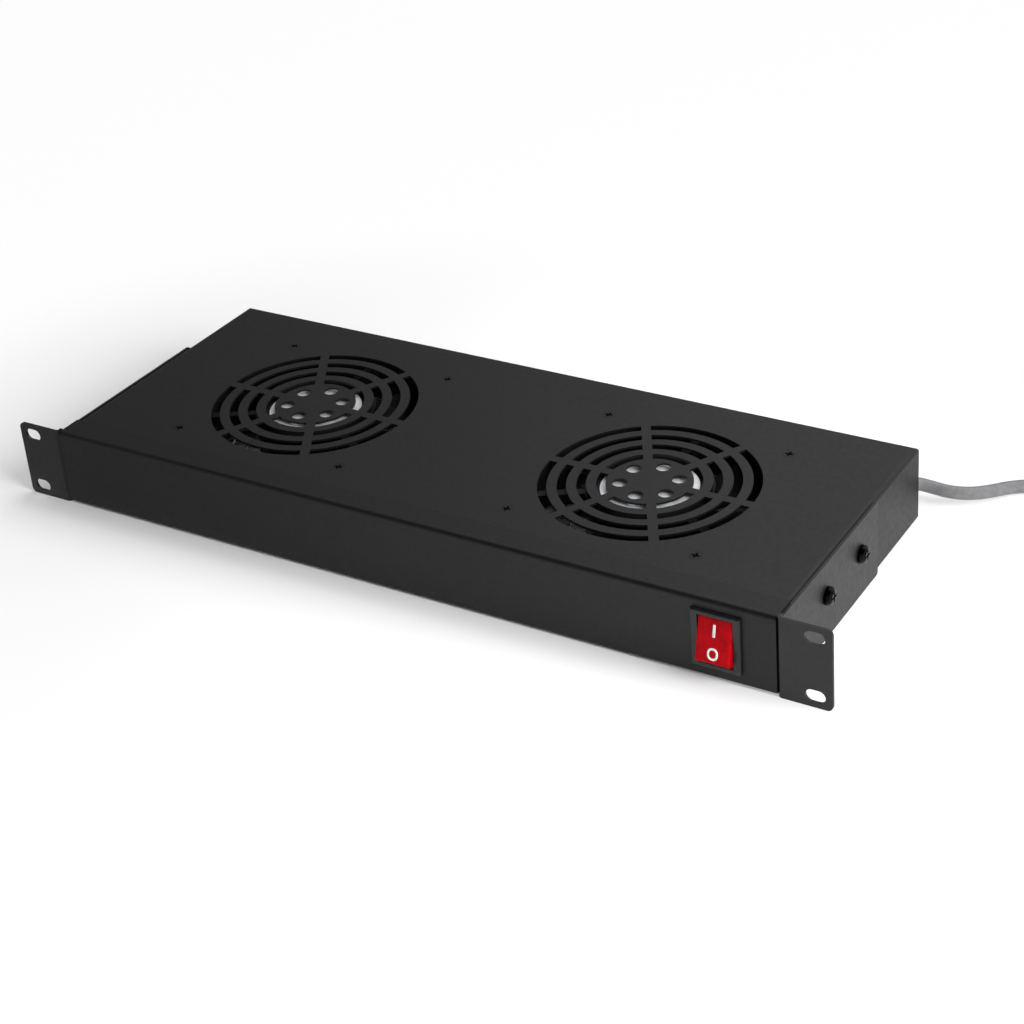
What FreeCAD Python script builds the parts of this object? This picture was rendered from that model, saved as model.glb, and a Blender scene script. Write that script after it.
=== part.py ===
import FreeCAD, Part
import math
import os
import re
import Sketcher

# Rack fan tray, one rack unit high, in millimetres.
# Origin: centre of the four rack slots, on the plane where the ears meet the rack rails.
# +X to the right as seen from the front, +Y towards the rear, +Z up.

SIZES = {
    # rack ears and brackets
    "ear_span": 482.6,
    "ear_height": 44.0,
    "slot_inset": 8.75,
    "slot_pitch_across": "=ear_span - 2 * slot_inset",
    "slot_pitch_up": 31.75,
    "slot_length": 10.2,
    "slot_width": 6.8,
    "ear_corner": 3.0,
    "bracket_gauge": 1.5,
    "bracket_bend": 2.5,
    "arm_length": 112.5,
    "arm_drop": 2.0,
    "arm_screw_setback": 51.5,
    "arm_screw_pitch": 40.0,
    "arm_screw_height": 2.0,
    "arm_screw_thread": 5.0,
    "arm_screw_length": 8.0,
    "arm_screw_head": 9.5,
    "arm_screw_head_height": 3.7,
    "arm_nut_flats": 8.0,
    "arm_nut_height": 4.0,
    # folded tray
    "ear_reach": 27.8,
    "tray_width": "=ear_span - 2 * ear_reach",
    "tray_rear": 169.5,
    "tray_gauge": 1.2,
    "tray_bend": 2.5,
    "plate_height": 20.3,
    "wall_height": 41.1,
    "lip_height": 12.0,
    "corner_slit": 0.6,
    # front panel
    "panel_gauge": 1.2,
    "panel_bend": 2.2,
    "panel_height": 41.6,
    "panel_flange": 14.3,
    "panel_foot": 9.0,
    "panel_foot_inset": 4.0,
    # punched grille
    "ring_first": 24.65,
    "ring_step": 9.95,
    "ring_slot": 4.75,
    "spoke_width": 5.0,
    "hub_hole": 8.0,
    "hub_hole_circle": 15.0,
    # fans
    "fan_inset": 109.8,
    "fan_pitch": "=tray_width - 2 * fan_inset",
    "fan_setback": 84.5,
    "fan_size": 119.5,
    "fan_corner": 5.0,
    "fan_depth": 25.0,
    "fan_flange": 3.6,
    "fan_hole_pitch": 105.0,
    "fan_hole": 4.9,
    "fan_post": 9.0,
    "fan_wall": 2.0,
    "bore_radius": 57.4,
    "bore_flare": 1.0,
    "hub_radius": 33.0,
    "hub_recess": 2.2,
    "hub_depth": 7.0,
    "hub_wall": 1.6,
    "label_radius": 25.3,
    "label_thickness": 0.4,
    "strut_width": 5.0,
    "strut_depth": 6.0,
    "rotor_gap": 0.8,
    "rotor_depth": 14.2,
    "rotor_wall": 1.8,
    "blade_clearance": 0.9,
    "blade_thickness": 1.7,
    "blade_root_angle": 52.0,
    "blade_tip_angle": 33.0,
    "shaft_radius": 2.5,
    "bearing_play": 0.03,
    "bearing_radius": 8.0,
    "bearing_width": 5.0,
    "tube_wall": 1.4,
    "core_thickness": 3.0,
    "core_play": 0.6,
    "terminal_length": 16.0,
    "terminal_offset": 21.0,
    "terminal_reach": 9.5,
    "terminal_height": 12.0,
    # fan screws, nuts and guards
    "fan_screw_thread": 4.0,
    "fan_screw_head": 7.2,
    "fan_nut_flats": 7.0,
    "fan_nut_height": 3.2,
    "fan_screw_spare": 1.0,
    "guard_wire": 1.8,
    "guard_rise": 4.4,
    "guard_rings": 5,
    "guard_first": 13.0,
    "guard_step": 10.0,
    "guard_eye": 3.4,
    # switch
    "switch_inset": 30.0,
    "switch_across": "=tray_width / 2 - switch_inset",
    "switch_up": 0.75,
    "bezel_width": 25.5,
    "bezel_height": 31.0,
    "bezel_proud": 2.0,
    "switch_body_width": 21.6,
    "switch_body_height": 28.2,
    "switch_body_depth": 22.0,
    "switch_play": 0.2,
    "switch_wall": 1.5,
    "rocker_pivot": 3.5,
    "rocker_face": 7.35,
    "rocker_half_length": 11.6,
    "rocker_half_width": 8.85,
    "rocker_gap": 0.3,
    "rocker_skirt": 5.5,
    "rocker_shell": 1.6,
    "rocker_tilt": 12.5,
    "trunnion_radius": 1.5,
    "trunnion_play": 0.05,
    "leg_radius": 2.2,
    "leg_length": 4.0,
    "plunger_radius": 1.2,
    "plunger_length": 4.4,
    "contact_setback": 13.1,
    "contact_tilt": 5.0,
    "contact_length": 13.0,
    "contact_width": 4.2,
    "contact_thickness": 0.8,
    "contact_spacing": 11.0,
    "throw_drop": 6.0,
    "lamp_radius": 1.9,
    "tab_width": 6.3,
    "tab_thickness": 0.8,
    "tab_length": 8.0,
    # supply cord, gland and plug
    "cord_diameter": 7.0,
    "gland_inset": 8.5,
    "gland_across": "=tray_width / 2 - gland_inset",
    "gland_up": -8.5,
    "gland_flange": 14.6,
    "gland_flange_thickness": 2.0,
    "gland_neck": 11.6,
    "gland_nose": 9.6,
    "gland_nose_length": 2.5,
    "gland_tail": 8.0,
    # mains plug
    "plug_width": 28.0,
    "plug_height": 20.0,
    "plug_length": 38.0,
    "plug_boot": 18.0,
    "pin_width": 4.0,
    "pin_thickness": 2.0,
    "pin_length": 16.0,
    "coil_radius": 40.5,
    # wiring inside the tray
    "lead_diameter": 5.0,
    "core_diameter": 2.6,
    "sleeve_width": 7.6,
    "sleeve_thickness": 2.8,
    "sleeve_length": 13.0,
    "sleeve_setback": 1.0,
    "tag_thickness": 0.8,
    "tag_radius": 5.2,
    "tag_drop": 12.5,
}

doc = FreeCAD.newDocument("rack_fan_tray")
sheet = doc.addObject("Spreadsheet::Sheet", "Sizes")
for row, (word, number) in enumerate(SIZES.items(), start=1):
    sheet.set("A%d" % row, word)
    sheet.set("B%d" % row, str(number))
    sheet.setAlias("B%d" % row, word)
doc.recompute()

NODES = []


# ---------------- helpers

def bound(text):
    """An expression in the words of the size sheet, as FreeCAD reads it."""
    def cell(found):
        name = found.group()
        return "Sizes." + name if name in SIZES else name

    return re.sub(r"[a-z_]+", cell, text)


def value(text):
    """The present number of such an expression."""
    return float(sheet.evalExpression(bound(text)))


def vector(x, y, z=0.0):
    return FreeCAD.Vector(x, y, z)


def drive(item, **properties):
    """Ties properties to the sheet. Placement parts are named with a double underscore for the dot."""
    for name, text in properties.items():
        item.setExpression(name.replace("__", "."), bound(text))


def node(item):
    """Marks a finished sub-part: its label is the name of its file."""
    NODES.append(item)
    return item


def new_body(label):
    body = doc.addObject("PartDesign::Body", label)
    body.Label = label
    return body


def sketch_on(body, name, role="XY_Plane", x="0", y="0", z="0", turn=0.0):
    """A sketch on one of the body's own planes: moved in it (x, y), off it (z), and turned in it."""
    sketch = body.newObject("Sketcher::SketchObject", name)
    plane = [item for item in body.Origin.OriginFeatures if item.Role == role][0]
    sketch.AttachmentSupport = [(plane, "")]
    sketch.MapMode = "FlatFace"
    sketch.AttachmentOffset = FreeCAD.Placement(vector(0, 0), FreeCAD.Rotation(vector(0, 0, 1), turn))
    for axis, text in (("x", x), ("y", y), ("z", z)):
        if text != "0":
            sketch.setExpression(".AttachmentOffset.Base." + axis, bound(text))
    return sketch


def dimension(sketch, kind, arguments, text):
    """A driving dimension tied to the sheet."""
    index = sketch.addConstraint(Sketcher.Constraint(kind, *arguments, value(text)))
    name = "size_%d" % index
    sketch.renameConstraint(index, name)
    sketch.setExpression("Constraints." + name, bound(text))


def hold_point(sketch, edge, end, x, y):
    """Places one point of the sketch by its two coordinates."""
    for text, kind, axis in ((x, "DistanceX", -2), (y, "DistanceY", -1)):
        if text == "0":
            sketch.addConstraint(Sketcher.Constraint("PointOnObject", edge, end, axis))
        else:
            dimension(sketch, kind, (-1, 1, edge, end), text)


def outline(sketch, corners):
    """A closed outline of straight edges through corners given as pairs of expressions."""
    first = sketch.GeometryCount
    points = [vector(value(x), value(y)) for x, y in corners]
    count = len(points)
    for index in range(count):
        sketch.addGeometry(Part.LineSegment(points[index], points[(index + 1) % count]), False)
    for index in range(count):
        sketch.addConstraint(Sketcher.Constraint("Coincident", first + index, 2,
                                                 first + (index + 1) % count, 1))
    for index, (x, y) in enumerate(corners):
        hold_point(sketch, first + index, 1, x, y)


def rectangle(sketch, left, right, low, high):
    outline(sketch, [(left, low), (right, low), (right, high), (left, high)])


def circle(sketch, x, y, radius):
    index = sketch.addGeometry(Part.Circle(vector(value(x), value(y)), vector(0, 0, 1), value(radius)),
                               False)
    hold_point(sketch, index, 3, x, y)
    dimension(sketch, "Radius", (index,), radius)


def ring_sector(sketch, inner, outer, half_spoke, angle):
    """A slot between two arcs about the sketch's origin and two spokes of even width, angle degrees apart."""
    def along(radius):
        return "sqrt((%s)^2 - (%s)^2)" % (radius, half_spoke)

    def far(radius):
        reach = along(radius)
        x = "(%s) * cos(%s deg) + (%s) * sin(%s deg)" % (reach, angle, half_spoke, angle)
        y = "(%s) * sin(%s deg) - (%s) * cos(%s deg)" % (reach, angle, half_spoke, angle)
        return x, y

    corners = [(along(inner), half_spoke), (along(outer), half_spoke), far(outer), far(inner)]
    points = [vector(value(x), value(y)) for x, y in corners]
    first = sketch.GeometryCount
    sketch.addGeometry(Part.LineSegment(points[0], points[1]), False)
    sketch.addGeometry(arc_about_origin(value(outer), points[1], points[2]), False)
    sketch.addGeometry(Part.LineSegment(points[2], points[3]), False)
    sketch.addGeometry(arc_about_origin(value(inner), points[0], points[3]), False)
    join = Sketcher.Constraint
    sketch.addConstraint([join("Coincident", first, 2, first + 1, 1),
                          join("Coincident", first + 1, 2, first + 2, 1),
                          join("Coincident", first + 2, 2, first + 3, 2),
                          join("Coincident", first + 3, 1, first, 1)])
    for edge, corner in ((first, 0), (first + 2, 2)):
        hold_point(sketch, edge, 1, *corners[corner])
        hold_point(sketch, edge, 2, *corners[corner + 1])
    dimension(sketch, "Radius", (first + 1,), outer)
    dimension(sketch, "Radius", (first + 3,), inner)


def arc_about_origin(radius, start, end):
    ring = Part.Circle(vector(0, 0), vector(0, 0, 1), radius)
    return Part.ArcOfCircle(ring, math.atan2(start.y, start.x), math.atan2(end.y, end.x))


def pad(body, sketch, length, name, backwards=False, both_ways=False):
    feature = body.newObject("PartDesign::Pad", name)
    feature.Profile = sketch
    drive(feature, Length=length)
    feature.Reversed = backwards
    feature.Midplane = both_ways
    doc.recompute()
    return feature


def pocket(body, sketch, name, length=None, backwards=False):
    """Cuts right through when no length is given, and must take something off the body."""
    before = body.Shape.Volume
    feature = body.newObject("PartDesign::Pocket", name)
    feature.Profile = sketch
    if length is None:
        feature.Type = "ThroughAll"
        feature.Midplane = True
    else:
        drive(feature, Length=length)
        feature.Reversed = backwards
    doc.recompute()
    if not body.Shape.Volume < before - 1e-6:
        raise ValueError(name + " cuts nothing")
    return feature


def revolve(body, sketch, name, axis="V_Axis"):
    feature = body.newObject("PartDesign::Revolution", name)
    feature.Profile = sketch
    feature.ReferenceAxis = (sketch, [axis])
    feature.Angle = 360
    doc.recompute()
    return feature


def polar(body, feature, axis_sketch, count, name):
    pattern = body.newObject("PartDesign::PolarPattern", name)
    pattern.Originals = [feature]
    pattern.Axis = (axis_sketch, ["N_Axis"])
    pattern.Angle = 360
    pattern.Occurrences = count
    body.Tip = pattern
    doc.recompute()
    return pattern


def edges_of(feature, wanted):
    """Names of the edges whose middle point and direction pass the test."""
    names = []
    for index, edge in enumerate(feature.Shape.Edges, start=1):
        middle = edge.valueAt((edge.FirstParameter + edge.LastParameter) / 2)
        along = edge.tangentAt((edge.FirstParameter + edge.LastParameter) / 2)
        if wanted(middle, along, edge):
            names.append("Edge%d" % index)
    return names


def fillet(body, feature, wanted, radius, name):
    rounded = body.newObject("PartDesign::Fillet", name)
    rounded.Base = (feature, edges_of(feature, wanted))
    drive(rounded, Radius=radius)
    doc.recompute()
    return rounded


def near(a, b):
    return abs(a - b) < 0.01


def placed(body, x, y, z):
    """Moves a finished body to its place, tied to the sheet."""
    for axis, text in (("x", x), ("y", y), ("z", z)):
        if text != "0":
            body.setExpression("Placement.Base." + axis, bound(text))
    doc.recompute()
    return body


def group(label, shapes):
    """Identical pieces that share a node, each a solid of its own."""
    item = doc.addObject("Part::Feature", label)
    item.Label = label
    item.Shape = Part.makeCompound(shapes)
    return node(item)


# ---------------- tray: one sheet folded down at both sides and the rear

HALF_TRAY = "tray_width / 2"
PANEL_BACK = "panel_gauge - bracket_gauge"
PLATE_UNDERSIDE = "plate_height - tray_gauge"
WALL_BOTTOM = "plate_height - wall_height"
FANS = {"left": -1, "right": 1}


def fan_across(side):
    return "%d * fan_pitch / 2" % side


def build_chassis():
    """A shelled block: the sheet's inner bend follows its outer bend, as folding leaves it."""
    body = new_body("chassis")
    plan = sketch_on(body, "tray_plan", z="plate_height")
    rectangle(plan, "-" + HALF_TRAY, HALF_TRAY, PANEL_BACK, "tray_rear")
    block = pad(body, plan, "wall_height", "tray_block", backwards=True)
    top = value("plate_height")
    front = value(PANEL_BACK)

    def folded(middle, along, edge):
        return near(middle.z, top) and not near(middle.y, front)

    bends = fillet(body, block, folded, "tray_bend", "tray_bends")
    low = value(WALL_BOTTOM)
    open_faces = []
    for index, face in enumerate(bends.Shape.Faces, start=1):
        centre = face.CenterOfMass
        if near(centre.z, low) or near(centre.y, front):
            open_faces.append("Face%d" % index)
    shell = body.newObject("PartDesign::Thickness", "tray_sheet")
    shell.Base = (bends, open_faces)
    drive(shell, Value="tray_gauge")
    shell.Reversed = True
    doc.recompute()
    lip = sketch_on(body, "lip_plan", z=PLATE_UNDERSIDE + " + 0.2")
    rectangle(lip, "-tray_width / 2 + 2 * tray_bend", "tray_width / 2 - 2 * tray_bend", PANEL_BACK,
              PANEL_BACK + " + tray_gauge")
    pad(body, lip, "lip_height", "front_lip", backwards=True)
    notch = sketch_on(body, "lip_notch", role="XZ_Plane", z="bracket_gauge")
    half_width = "(switch_body_width / 2 + 2 * switch_play)"
    rectangle(notch, "switch_across - " + half_width, "switch_across + " + half_width, "0",
              "switch_up + switch_body_height / 2 + 2 * switch_play")
    pocket(body, notch, "lip_notch_cut", "bracket_gauge + 3 * tray_gauge")
    slits = sketch_on(body, "corner_slits", z=WALL_BOTTOM)
    inner = "tray_width / 2 - tray_gauge"
    for left, right in (("-(%s)" % inner, "-(%s) + corner_slit" % inner),
                        (inner + " - corner_slit", inner)):
        rectangle(slits, left, right, "tray_rear - 2 * tray_gauge", "tray_rear + tray_gauge")
    pocket(body, slits, "corner_slit_cuts", "wall_height - 2 * tray_bend", backwards=True)
    for name, side in FANS.items():
        build_grille(body, name, side)
    holes = sketch_on(body, "arm_screw_holes", role="YZ_Plane")
    for step in ("0", "arm_screw_pitch"):
        circle(holes, "arm_screw_setback + " + step, "arm_screw_height", "arm_screw_thread / 2 + 0.25")
    pocket(body, holes, "arm_screw_cuts")
    entry = sketch_on(body, "gland_hole", role="XZ_Plane", z="-tray_rear")
    circle(entry, "gland_across", "gland_up", "gland_neck / 2 + 0.1")
    pocket(body, entry, "gland_cut", "2 * tray_gauge", backwards=GLAND_BACKWARDS)
    return node(body)


def build_grille(body, name, side):
    """Ring slots punched over one fan, six round holes over its hub, and four screw holes."""
    punch = sketch_on(body, "grille_%s" % name, x=fan_across(side), y="fan_setback", z="plate_height")
    for ring in range(4):
        middle = "ring_first + %d * ring_step" % ring
        ring_sector(punch, middle + " - ring_slot / 2", middle + " + ring_slot / 2", "spoke_width / 2", 60)
    circle(punch, "hub_hole_circle * cos(30 deg)", "hub_hole_circle * sin(30 deg)", "hub_hole / 2")
    cut = pocket(body, punch, "grille_cut_%s" % name, "2 * tray_gauge")
    polar(body, cut, punch, 6, "grille_pattern_%s" % name)
    screws = sketch_on(body, "fan_screw_holes_%s" % name, x=fan_across(side), y="fan_setback",
                       z="plate_height")
    for across in ("-", ""):
        for back in ("-", ""):
            circle(screws, across + "fan_hole_pitch / 2", back + "fan_hole_pitch / 2",
                   "fan_screw_head / 2 + 0.1")
    sink = pocket(body, screws, "fan_screw_cuts_%s" % name, "tray_gauge + 0.01")
    sink.TaperAngle = SINK_TAPER
    doc.recompute()


# The Pocket directions that reach the sheet from the planes used.
GLAND_BACKWARDS = True
SINK_TAPER = -45.0

build_chassis()


# ---------------- front panel: a folded strip lapped over the tray's front edge

def build_front_panel():
    body = new_body("front_panel")
    front = "-bracket_gauge"
    top = "plate_height + panel_gauge"
    low = top + " - panel_height"
    profile = sketch_on(body, "panel_profile", role="YZ_Plane")
    outline(profile, [(front, low), (PANEL_BACK, low), (PANEL_BACK, "plate_height"),
                      ("panel_flange", "plate_height"),
                      ("panel_flange", top), (front, top)])
    strip = pad(body, profile, "tray_width", "panel_strip", both_ways=True)
    high = value(top)

    def outer_bend(middle, along, edge):
        return near(middle.z, high) and near(middle.y, value(front)) and edge.Length > 10

    bend = fillet(body, strip, outer_bend, "panel_bend", "panel_bend_outside")
    foot = sketch_on(body, "foot_plan", z=low)
    half = "(tray_width / 2 - panel_foot_inset)"
    rectangle(foot, "-" + half, half, front + " + 0.1", "panel_foot")
    pad(body, foot, "panel_gauge", "panel_foot_flange")
    opening = sketch_on(body, "switch_opening", role="XZ_Plane")
    half_width = "(switch_body_width / 2 + switch_play)"
    half_height = "(switch_body_height / 2 + switch_play)"
    rectangle(opening, "switch_across - " + half_width, "switch_across + " + half_width,
              "switch_up - " + half_height, "switch_up + " + half_height)
    pocket(body, opening, "switch_cut")
    return node(body)


build_front_panel()


# ---------------- rack brackets, one for each side

def build_bracket(name, side):
    """An L folded from flat bar: its arm lies on the tray's side, its ear has two rack slots."""
    body = new_body("ear_bracket_" + name)
    sign = "%d * " % side
    wall = sign + "(tray_width / 2)"
    outside = sign + "(tray_width / 2 + bracket_gauge)"
    tip = sign + "(ear_span / 2)"
    plan = sketch_on(body, "bracket_plan", z="-ear_height / 2")
    outline(plan, [(wall, "-bracket_gauge"), (tip, "-bracket_gauge"), (tip, "0"), (outside, "0"),
                   (outside, "arm_length"), (wall, "arm_length")])
    pad(body, plan, "ear_height", "bracket_bar")
    over = sketch_on(body, "over_arm", role="YZ_Plane")
    rectangle(over, "bracket_bend", "arm_length + 1", "ear_height / 2 - arm_drop", "ear_height / 2 + 1")
    bar = pocket(body, over, "arm_top_cut")
    wall_x = value(wall)
    outside_x = value(outside)
    tip_x = value(tip)

    def outer_bend(middle, along, edge):
        return near(middle.x, wall_x) and near(middle.y, -value("bracket_gauge")) and abs(along.z) > 0.9

    def inner_bend(middle, along, edge):
        return near(middle.x, outside_x) and near(middle.y, 0) and abs(along.z) > 0.9

    def ear_corners(middle, along, edge):
        return near(middle.x, tip_x) and abs(along.y) > 0.9

    def arm_corners(middle, along, edge):
        return near(middle.y, value("arm_length")) and abs(along.x) > 0.9

    bend = fillet(body, bar, outer_bend, "bracket_bend", "bend_outside")
    bend = fillet(body, bend, inner_bend, "bracket_bend - bracket_gauge", "bend_inside")
    bend = fillet(body, bend, ear_corners, "ear_corner", "ear_corners")
    bend = fillet(body, bend, arm_corners, "ear_corner / 2", "arm_corners")
    middles = [(sign + "slot_pitch_across / 2", up + "slot_pitch_up / 2") for up in ("", "-")]
    bars = sketch_on(body, "slot_bars", role="XZ_Plane")
    for x, z in middles:
        straight = "(slot_length - slot_width) / 2"
        rectangle(bars, "%s - %s" % (x, straight), "%s + %s" % (x, straight), z + " - slot_width / 2",
                  z + " + slot_width / 2")
    pocket(body, bars, "slot_bar_cuts")
    for end in ("-", "+"):
        rounds = sketch_on(body, "slot_ends", role="XZ_Plane")
        for x, z in middles:
            circle(rounds, "%s %s (slot_length - slot_width) / 2" % (x, end), z, "slot_width / 2")
        pocket(body, rounds, "slot_end_cuts")
    holes = sketch_on(body, "arm_screw_holes", role="YZ_Plane")
    for step in ("0", "arm_screw_pitch"):
        circle(holes, "arm_screw_setback + " + step, "arm_screw_height", "arm_screw_thread / 2 + 0.25")
    pocket(body, holes, "arm_screw_cuts")
    return node(body)


for bracket_name, bracket_side in FANS.items():
    build_bracket(bracket_name, bracket_side)


# ---------------- fans: each is built about its own axis, downwards from its mounting face

HUB_UNDERSIDE = "-(hub_recess + hub_depth)"
ROTOR_TOP = "-(hub_recess + hub_depth + rotor_gap)"
ROTOR_BOTTOM = ROTOR_TOP + " - rotor_depth"
TUBE_BOTTOM = ROTOR_BOTTOM + " + rotor_wall + 1.8"
TUBE_TOP = "-(hub_recess + hub_wall)"
HALF_SIZE = "fan_size / 2"
HALF_HOLES = "fan_hole_pitch / 2"


GUARD_RINGS = SIZES["guard_rings"]


def place_on_fan(body, side):
    return placed(body, fan_across(side), "fan_setback", PLATE_UNDERSIDE)


def four_circles(sketch, half_pitch, radius):
    for across in ("-", ""):
        for back in ("-", ""):
            circle(sketch, across + half_pitch, back + half_pitch, radius)


def build_fan_frame(name, side):
    """A cast frame: flared barrel, two square flanges joined by posts, and a hub cup held by three struts."""
    body = new_body("fan_frame_" + name)
    barrel = sketch_on(body, "barrel_profile", role="XZ_Plane")
    mouth = "bore_radius + bore_flare"
    skin = "bore_radius + fan_wall"
    outline(barrel, [("bore_radius", "-fan_flange"), (mouth, "0"), (skin, "0"), (skin, "-fan_depth"),
                     (mouth, "-fan_depth"), ("bore_radius", "fan_flange - fan_depth")])
    revolve(body, barrel, "barrel")
    for label, top in (("mounting", "0"), ("guard", "fan_flange - fan_depth")):
        plan = sketch_on(body, label + "_flange_plan", z=top)
        rectangle(plan, "-" + HALF_SIZE, HALF_SIZE, "-" + HALF_SIZE, HALF_SIZE)
        circle(plan, "0", "0", mouth + " + 0.4")
        flange = pad(body, plan, "fan_flange", label + "_flange", backwards=True)
    half = value(HALF_SIZE)

    def square_corners(middle, along, edge):
        return near(abs(middle.x), half) and near(abs(middle.y), half)

    fillet(body, flange, square_corners, "fan_corner", "flange_corners")
    posts = sketch_on(body, "post_plan", z="-fan_flange + 0.2")
    four_circles(posts, HALF_HOLES, "fan_post / 2")
    pad(body, posts, "fan_depth - 2 * fan_flange + 0.4", "posts", backwards=True)
    terminal = sketch_on(body, "terminal_plan", z="0.2 - fan_flange")
    rectangle(terminal, "terminal_offset", "terminal_offset + terminal_length", HALF_SIZE + " - 4",
              HALF_SIZE + " + terminal_reach")
    pad(body, terminal, "terminal_height", "terminal_housing", backwards=True)
    holes = sketch_on(body, "screw_holes")
    four_circles(holes, HALF_HOLES, "fan_hole / 2")
    pocket(body, holes, "screw_hole_cuts")
    hub = sketch_on(body, "hub_profile", role="XZ_Plane")
    rim = "hub_radius - hub_wall"
    tube = "bearing_radius + tube_wall"
    outline(hub, [("0", "-hub_recess"), ("hub_radius", "-hub_recess"), ("hub_radius", HUB_UNDERSIDE),
                  (rim, HUB_UNDERSIDE),
                  (rim, TUBE_TOP), (tube, TUBE_TOP), (tube, TUBE_BOTTOM), ("bearing_radius", TUBE_BOTTOM),
                  ("bearing_radius", TUBE_TOP), ("0", TUBE_TOP)])
    revolve(body, hub, "hub")
    strut = sketch_on(body, "strut_plan", z="-hub_recess - 0.4", turn=90)
    rectangle(strut, "hub_radius - 1", "bore_radius + 0.6", "-strut_width / 2", "strut_width / 2")
    beam = pad(body, strut, "strut_depth", "strut", backwards=True)
    polar(body, beam, strut, 3, "struts")
    place_on_fan(body, side)
    return node(body)


def build_fan_label(name, side):
    body = new_body("fan_label_" + name)
    disc = sketch_on(body, "disc", z="-hub_recess")
    circle(disc, "0", "0", "label_radius")
    pad(body, disc, "label_thickness", "foil")
    place_on_fan(body, side)
    return node(body)


def build_stator(name, side):
    """Laminations on the bearing tube with the winding standing out above and below them."""
    body = new_body("fan_stator_" + name)
    profile = sketch_on(body, "stator_profile", role="XZ_Plane")
    bore = "bearing_radius + tube_wall"
    skin = "hub_radius - rotor_wall - core_thickness - core_play"
    high = ROTOR_TOP + " - 1.5"
    low = ROTOR_BOTTOM + " + rotor_wall + 4.0"
    outline(profile, [(bore, high + " + 2.5"), (skin + " - 3", high + " + 2.5"), (skin + " - 3", high),
                      (skin, high),
                      (skin, low), (skin + " - 3", low), (skin + " - 3", low + " - 2"),
                      (bore, low + " - 2")])
    revolve(body, profile, "stator")
    place_on_fan(body, side)
    return node(body)


def build_bearings(name, side):
    body = new_body("fan_bearings_" + name)
    for label, top in (("upper", TUBE_TOP), ("lower", TUBE_BOTTOM + " + bearing_width")):
        ring = sketch_on(body, label + "_ring", z=top)
        circle(ring, "0", "0", "bearing_radius")
        circle(ring, "0", "0", "shaft_radius + bearing_play")
        pad(body, ring, "bearing_width", label + "_bearing", backwards=True)
    place_on_fan(body, side)
    return node(body)


def build_shaft(name, side):
    body = new_body("fan_shaft_" + name)
    disc = sketch_on(body, "section", z=ROTOR_BOTTOM)
    circle(disc, "0", "0", "shaft_radius")
    pad(body, disc, "rotor_depth + rotor_gap + hub_depth - hub_wall - 0.4", "rod")
    place_on_fan(body, side)
    return node(body)


def build_rotor_core(name, side):
    body = new_body("rotor_core_" + name)
    profile = sketch_on(body, "core_profile", role="XZ_Plane")
    skin = "hub_radius - rotor_wall"
    high = ROTOR_TOP + " - 0.6"
    low = ROTOR_BOTTOM + " + rotor_wall"
    rectangle(profile, skin + " - core_thickness", skin, low, high)
    revolve(body, profile, "core")
    place_on_fan(body, side)
    return node(body)


def blade_section(sketch, angle, lean):
    """A thin cambered strip at an angle to the plane of rotation, leaning back round the hub."""
    half = "(rotor_depth / 2 - 1.2)"
    reach = "%s / tan(%s * 1 deg)" % (half, angle)
    thick = "blade_thickness / cos(%s * 1 deg)" % angle
    middle = "%s + 1.2" % lean
    low = [("%s - %s" % (lean, reach), "-" + half), (middle, "-0.8"),
           ("%s + %s" % (lean, reach), half + " - " + thick)]
    high = [(y, z + " + " + thick) for y, z in reversed(low)]
    outline(sketch, low + high)


def build_impeller(name, side):
    """Seven blades, lofted from a steep root to a flatter tip, round a cup with the shaft's boss."""
    body = new_body("fan_impeller_" + name)
    cup = sketch_on(body, "cup_profile", role="XZ_Plane")
    floor = ROTOR_BOTTOM + " + rotor_wall"
    inner = "hub_radius - rotor_wall"
    outline(cup, [("shaft_radius", ROTOR_BOTTOM), ("hub_radius - 1.5", ROTOR_BOTTOM),
                  ("hub_radius", ROTOR_BOTTOM + " + 1.5"),
                  ("hub_radius", ROTOR_TOP), (inner, ROTOR_TOP), (inner, floor),
                  ("shaft_radius * 2.4", floor),
                  ("shaft_radius * 2.4", floor + " + 1.2"), ("shaft_radius", floor + " + 1.2")])
    revolve(body, cup, "cup")
    level = ROTOR_BOTTOM + " + rotor_depth / 2"
    root = sketch_on(body, "blade_root", role="YZ_Plane", y=level, z="hub_radius - 0.9")
    blade_section(root, "blade_root_angle", "0")
    tip = sketch_on(body, "blade_tip", role="YZ_Plane", y=level, z="bore_radius + 1")
    blade_section(tip, "blade_tip_angle", "6")
    loft = body.newObject("PartDesign::AdditiveLoft", "blade")
    loft.Profile = root
    loft.Sections = [tip]
    doc.recompute()
    axis = sketch_on(body, "blade_circle")
    circle(axis, "0", "0", "hub_radius")
    polar(body, loft, axis, 7, "blades")
    trim = sketch_on(body, "tip_trim")
    circle(trim, "0", "0", "bore_radius - blade_clearance")
    circle(trim, "0", "0", "bore_radius + 12")
    pocket(body, trim, "tip_circle")
    place_on_fan(body, side)
    return node(body)


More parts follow.
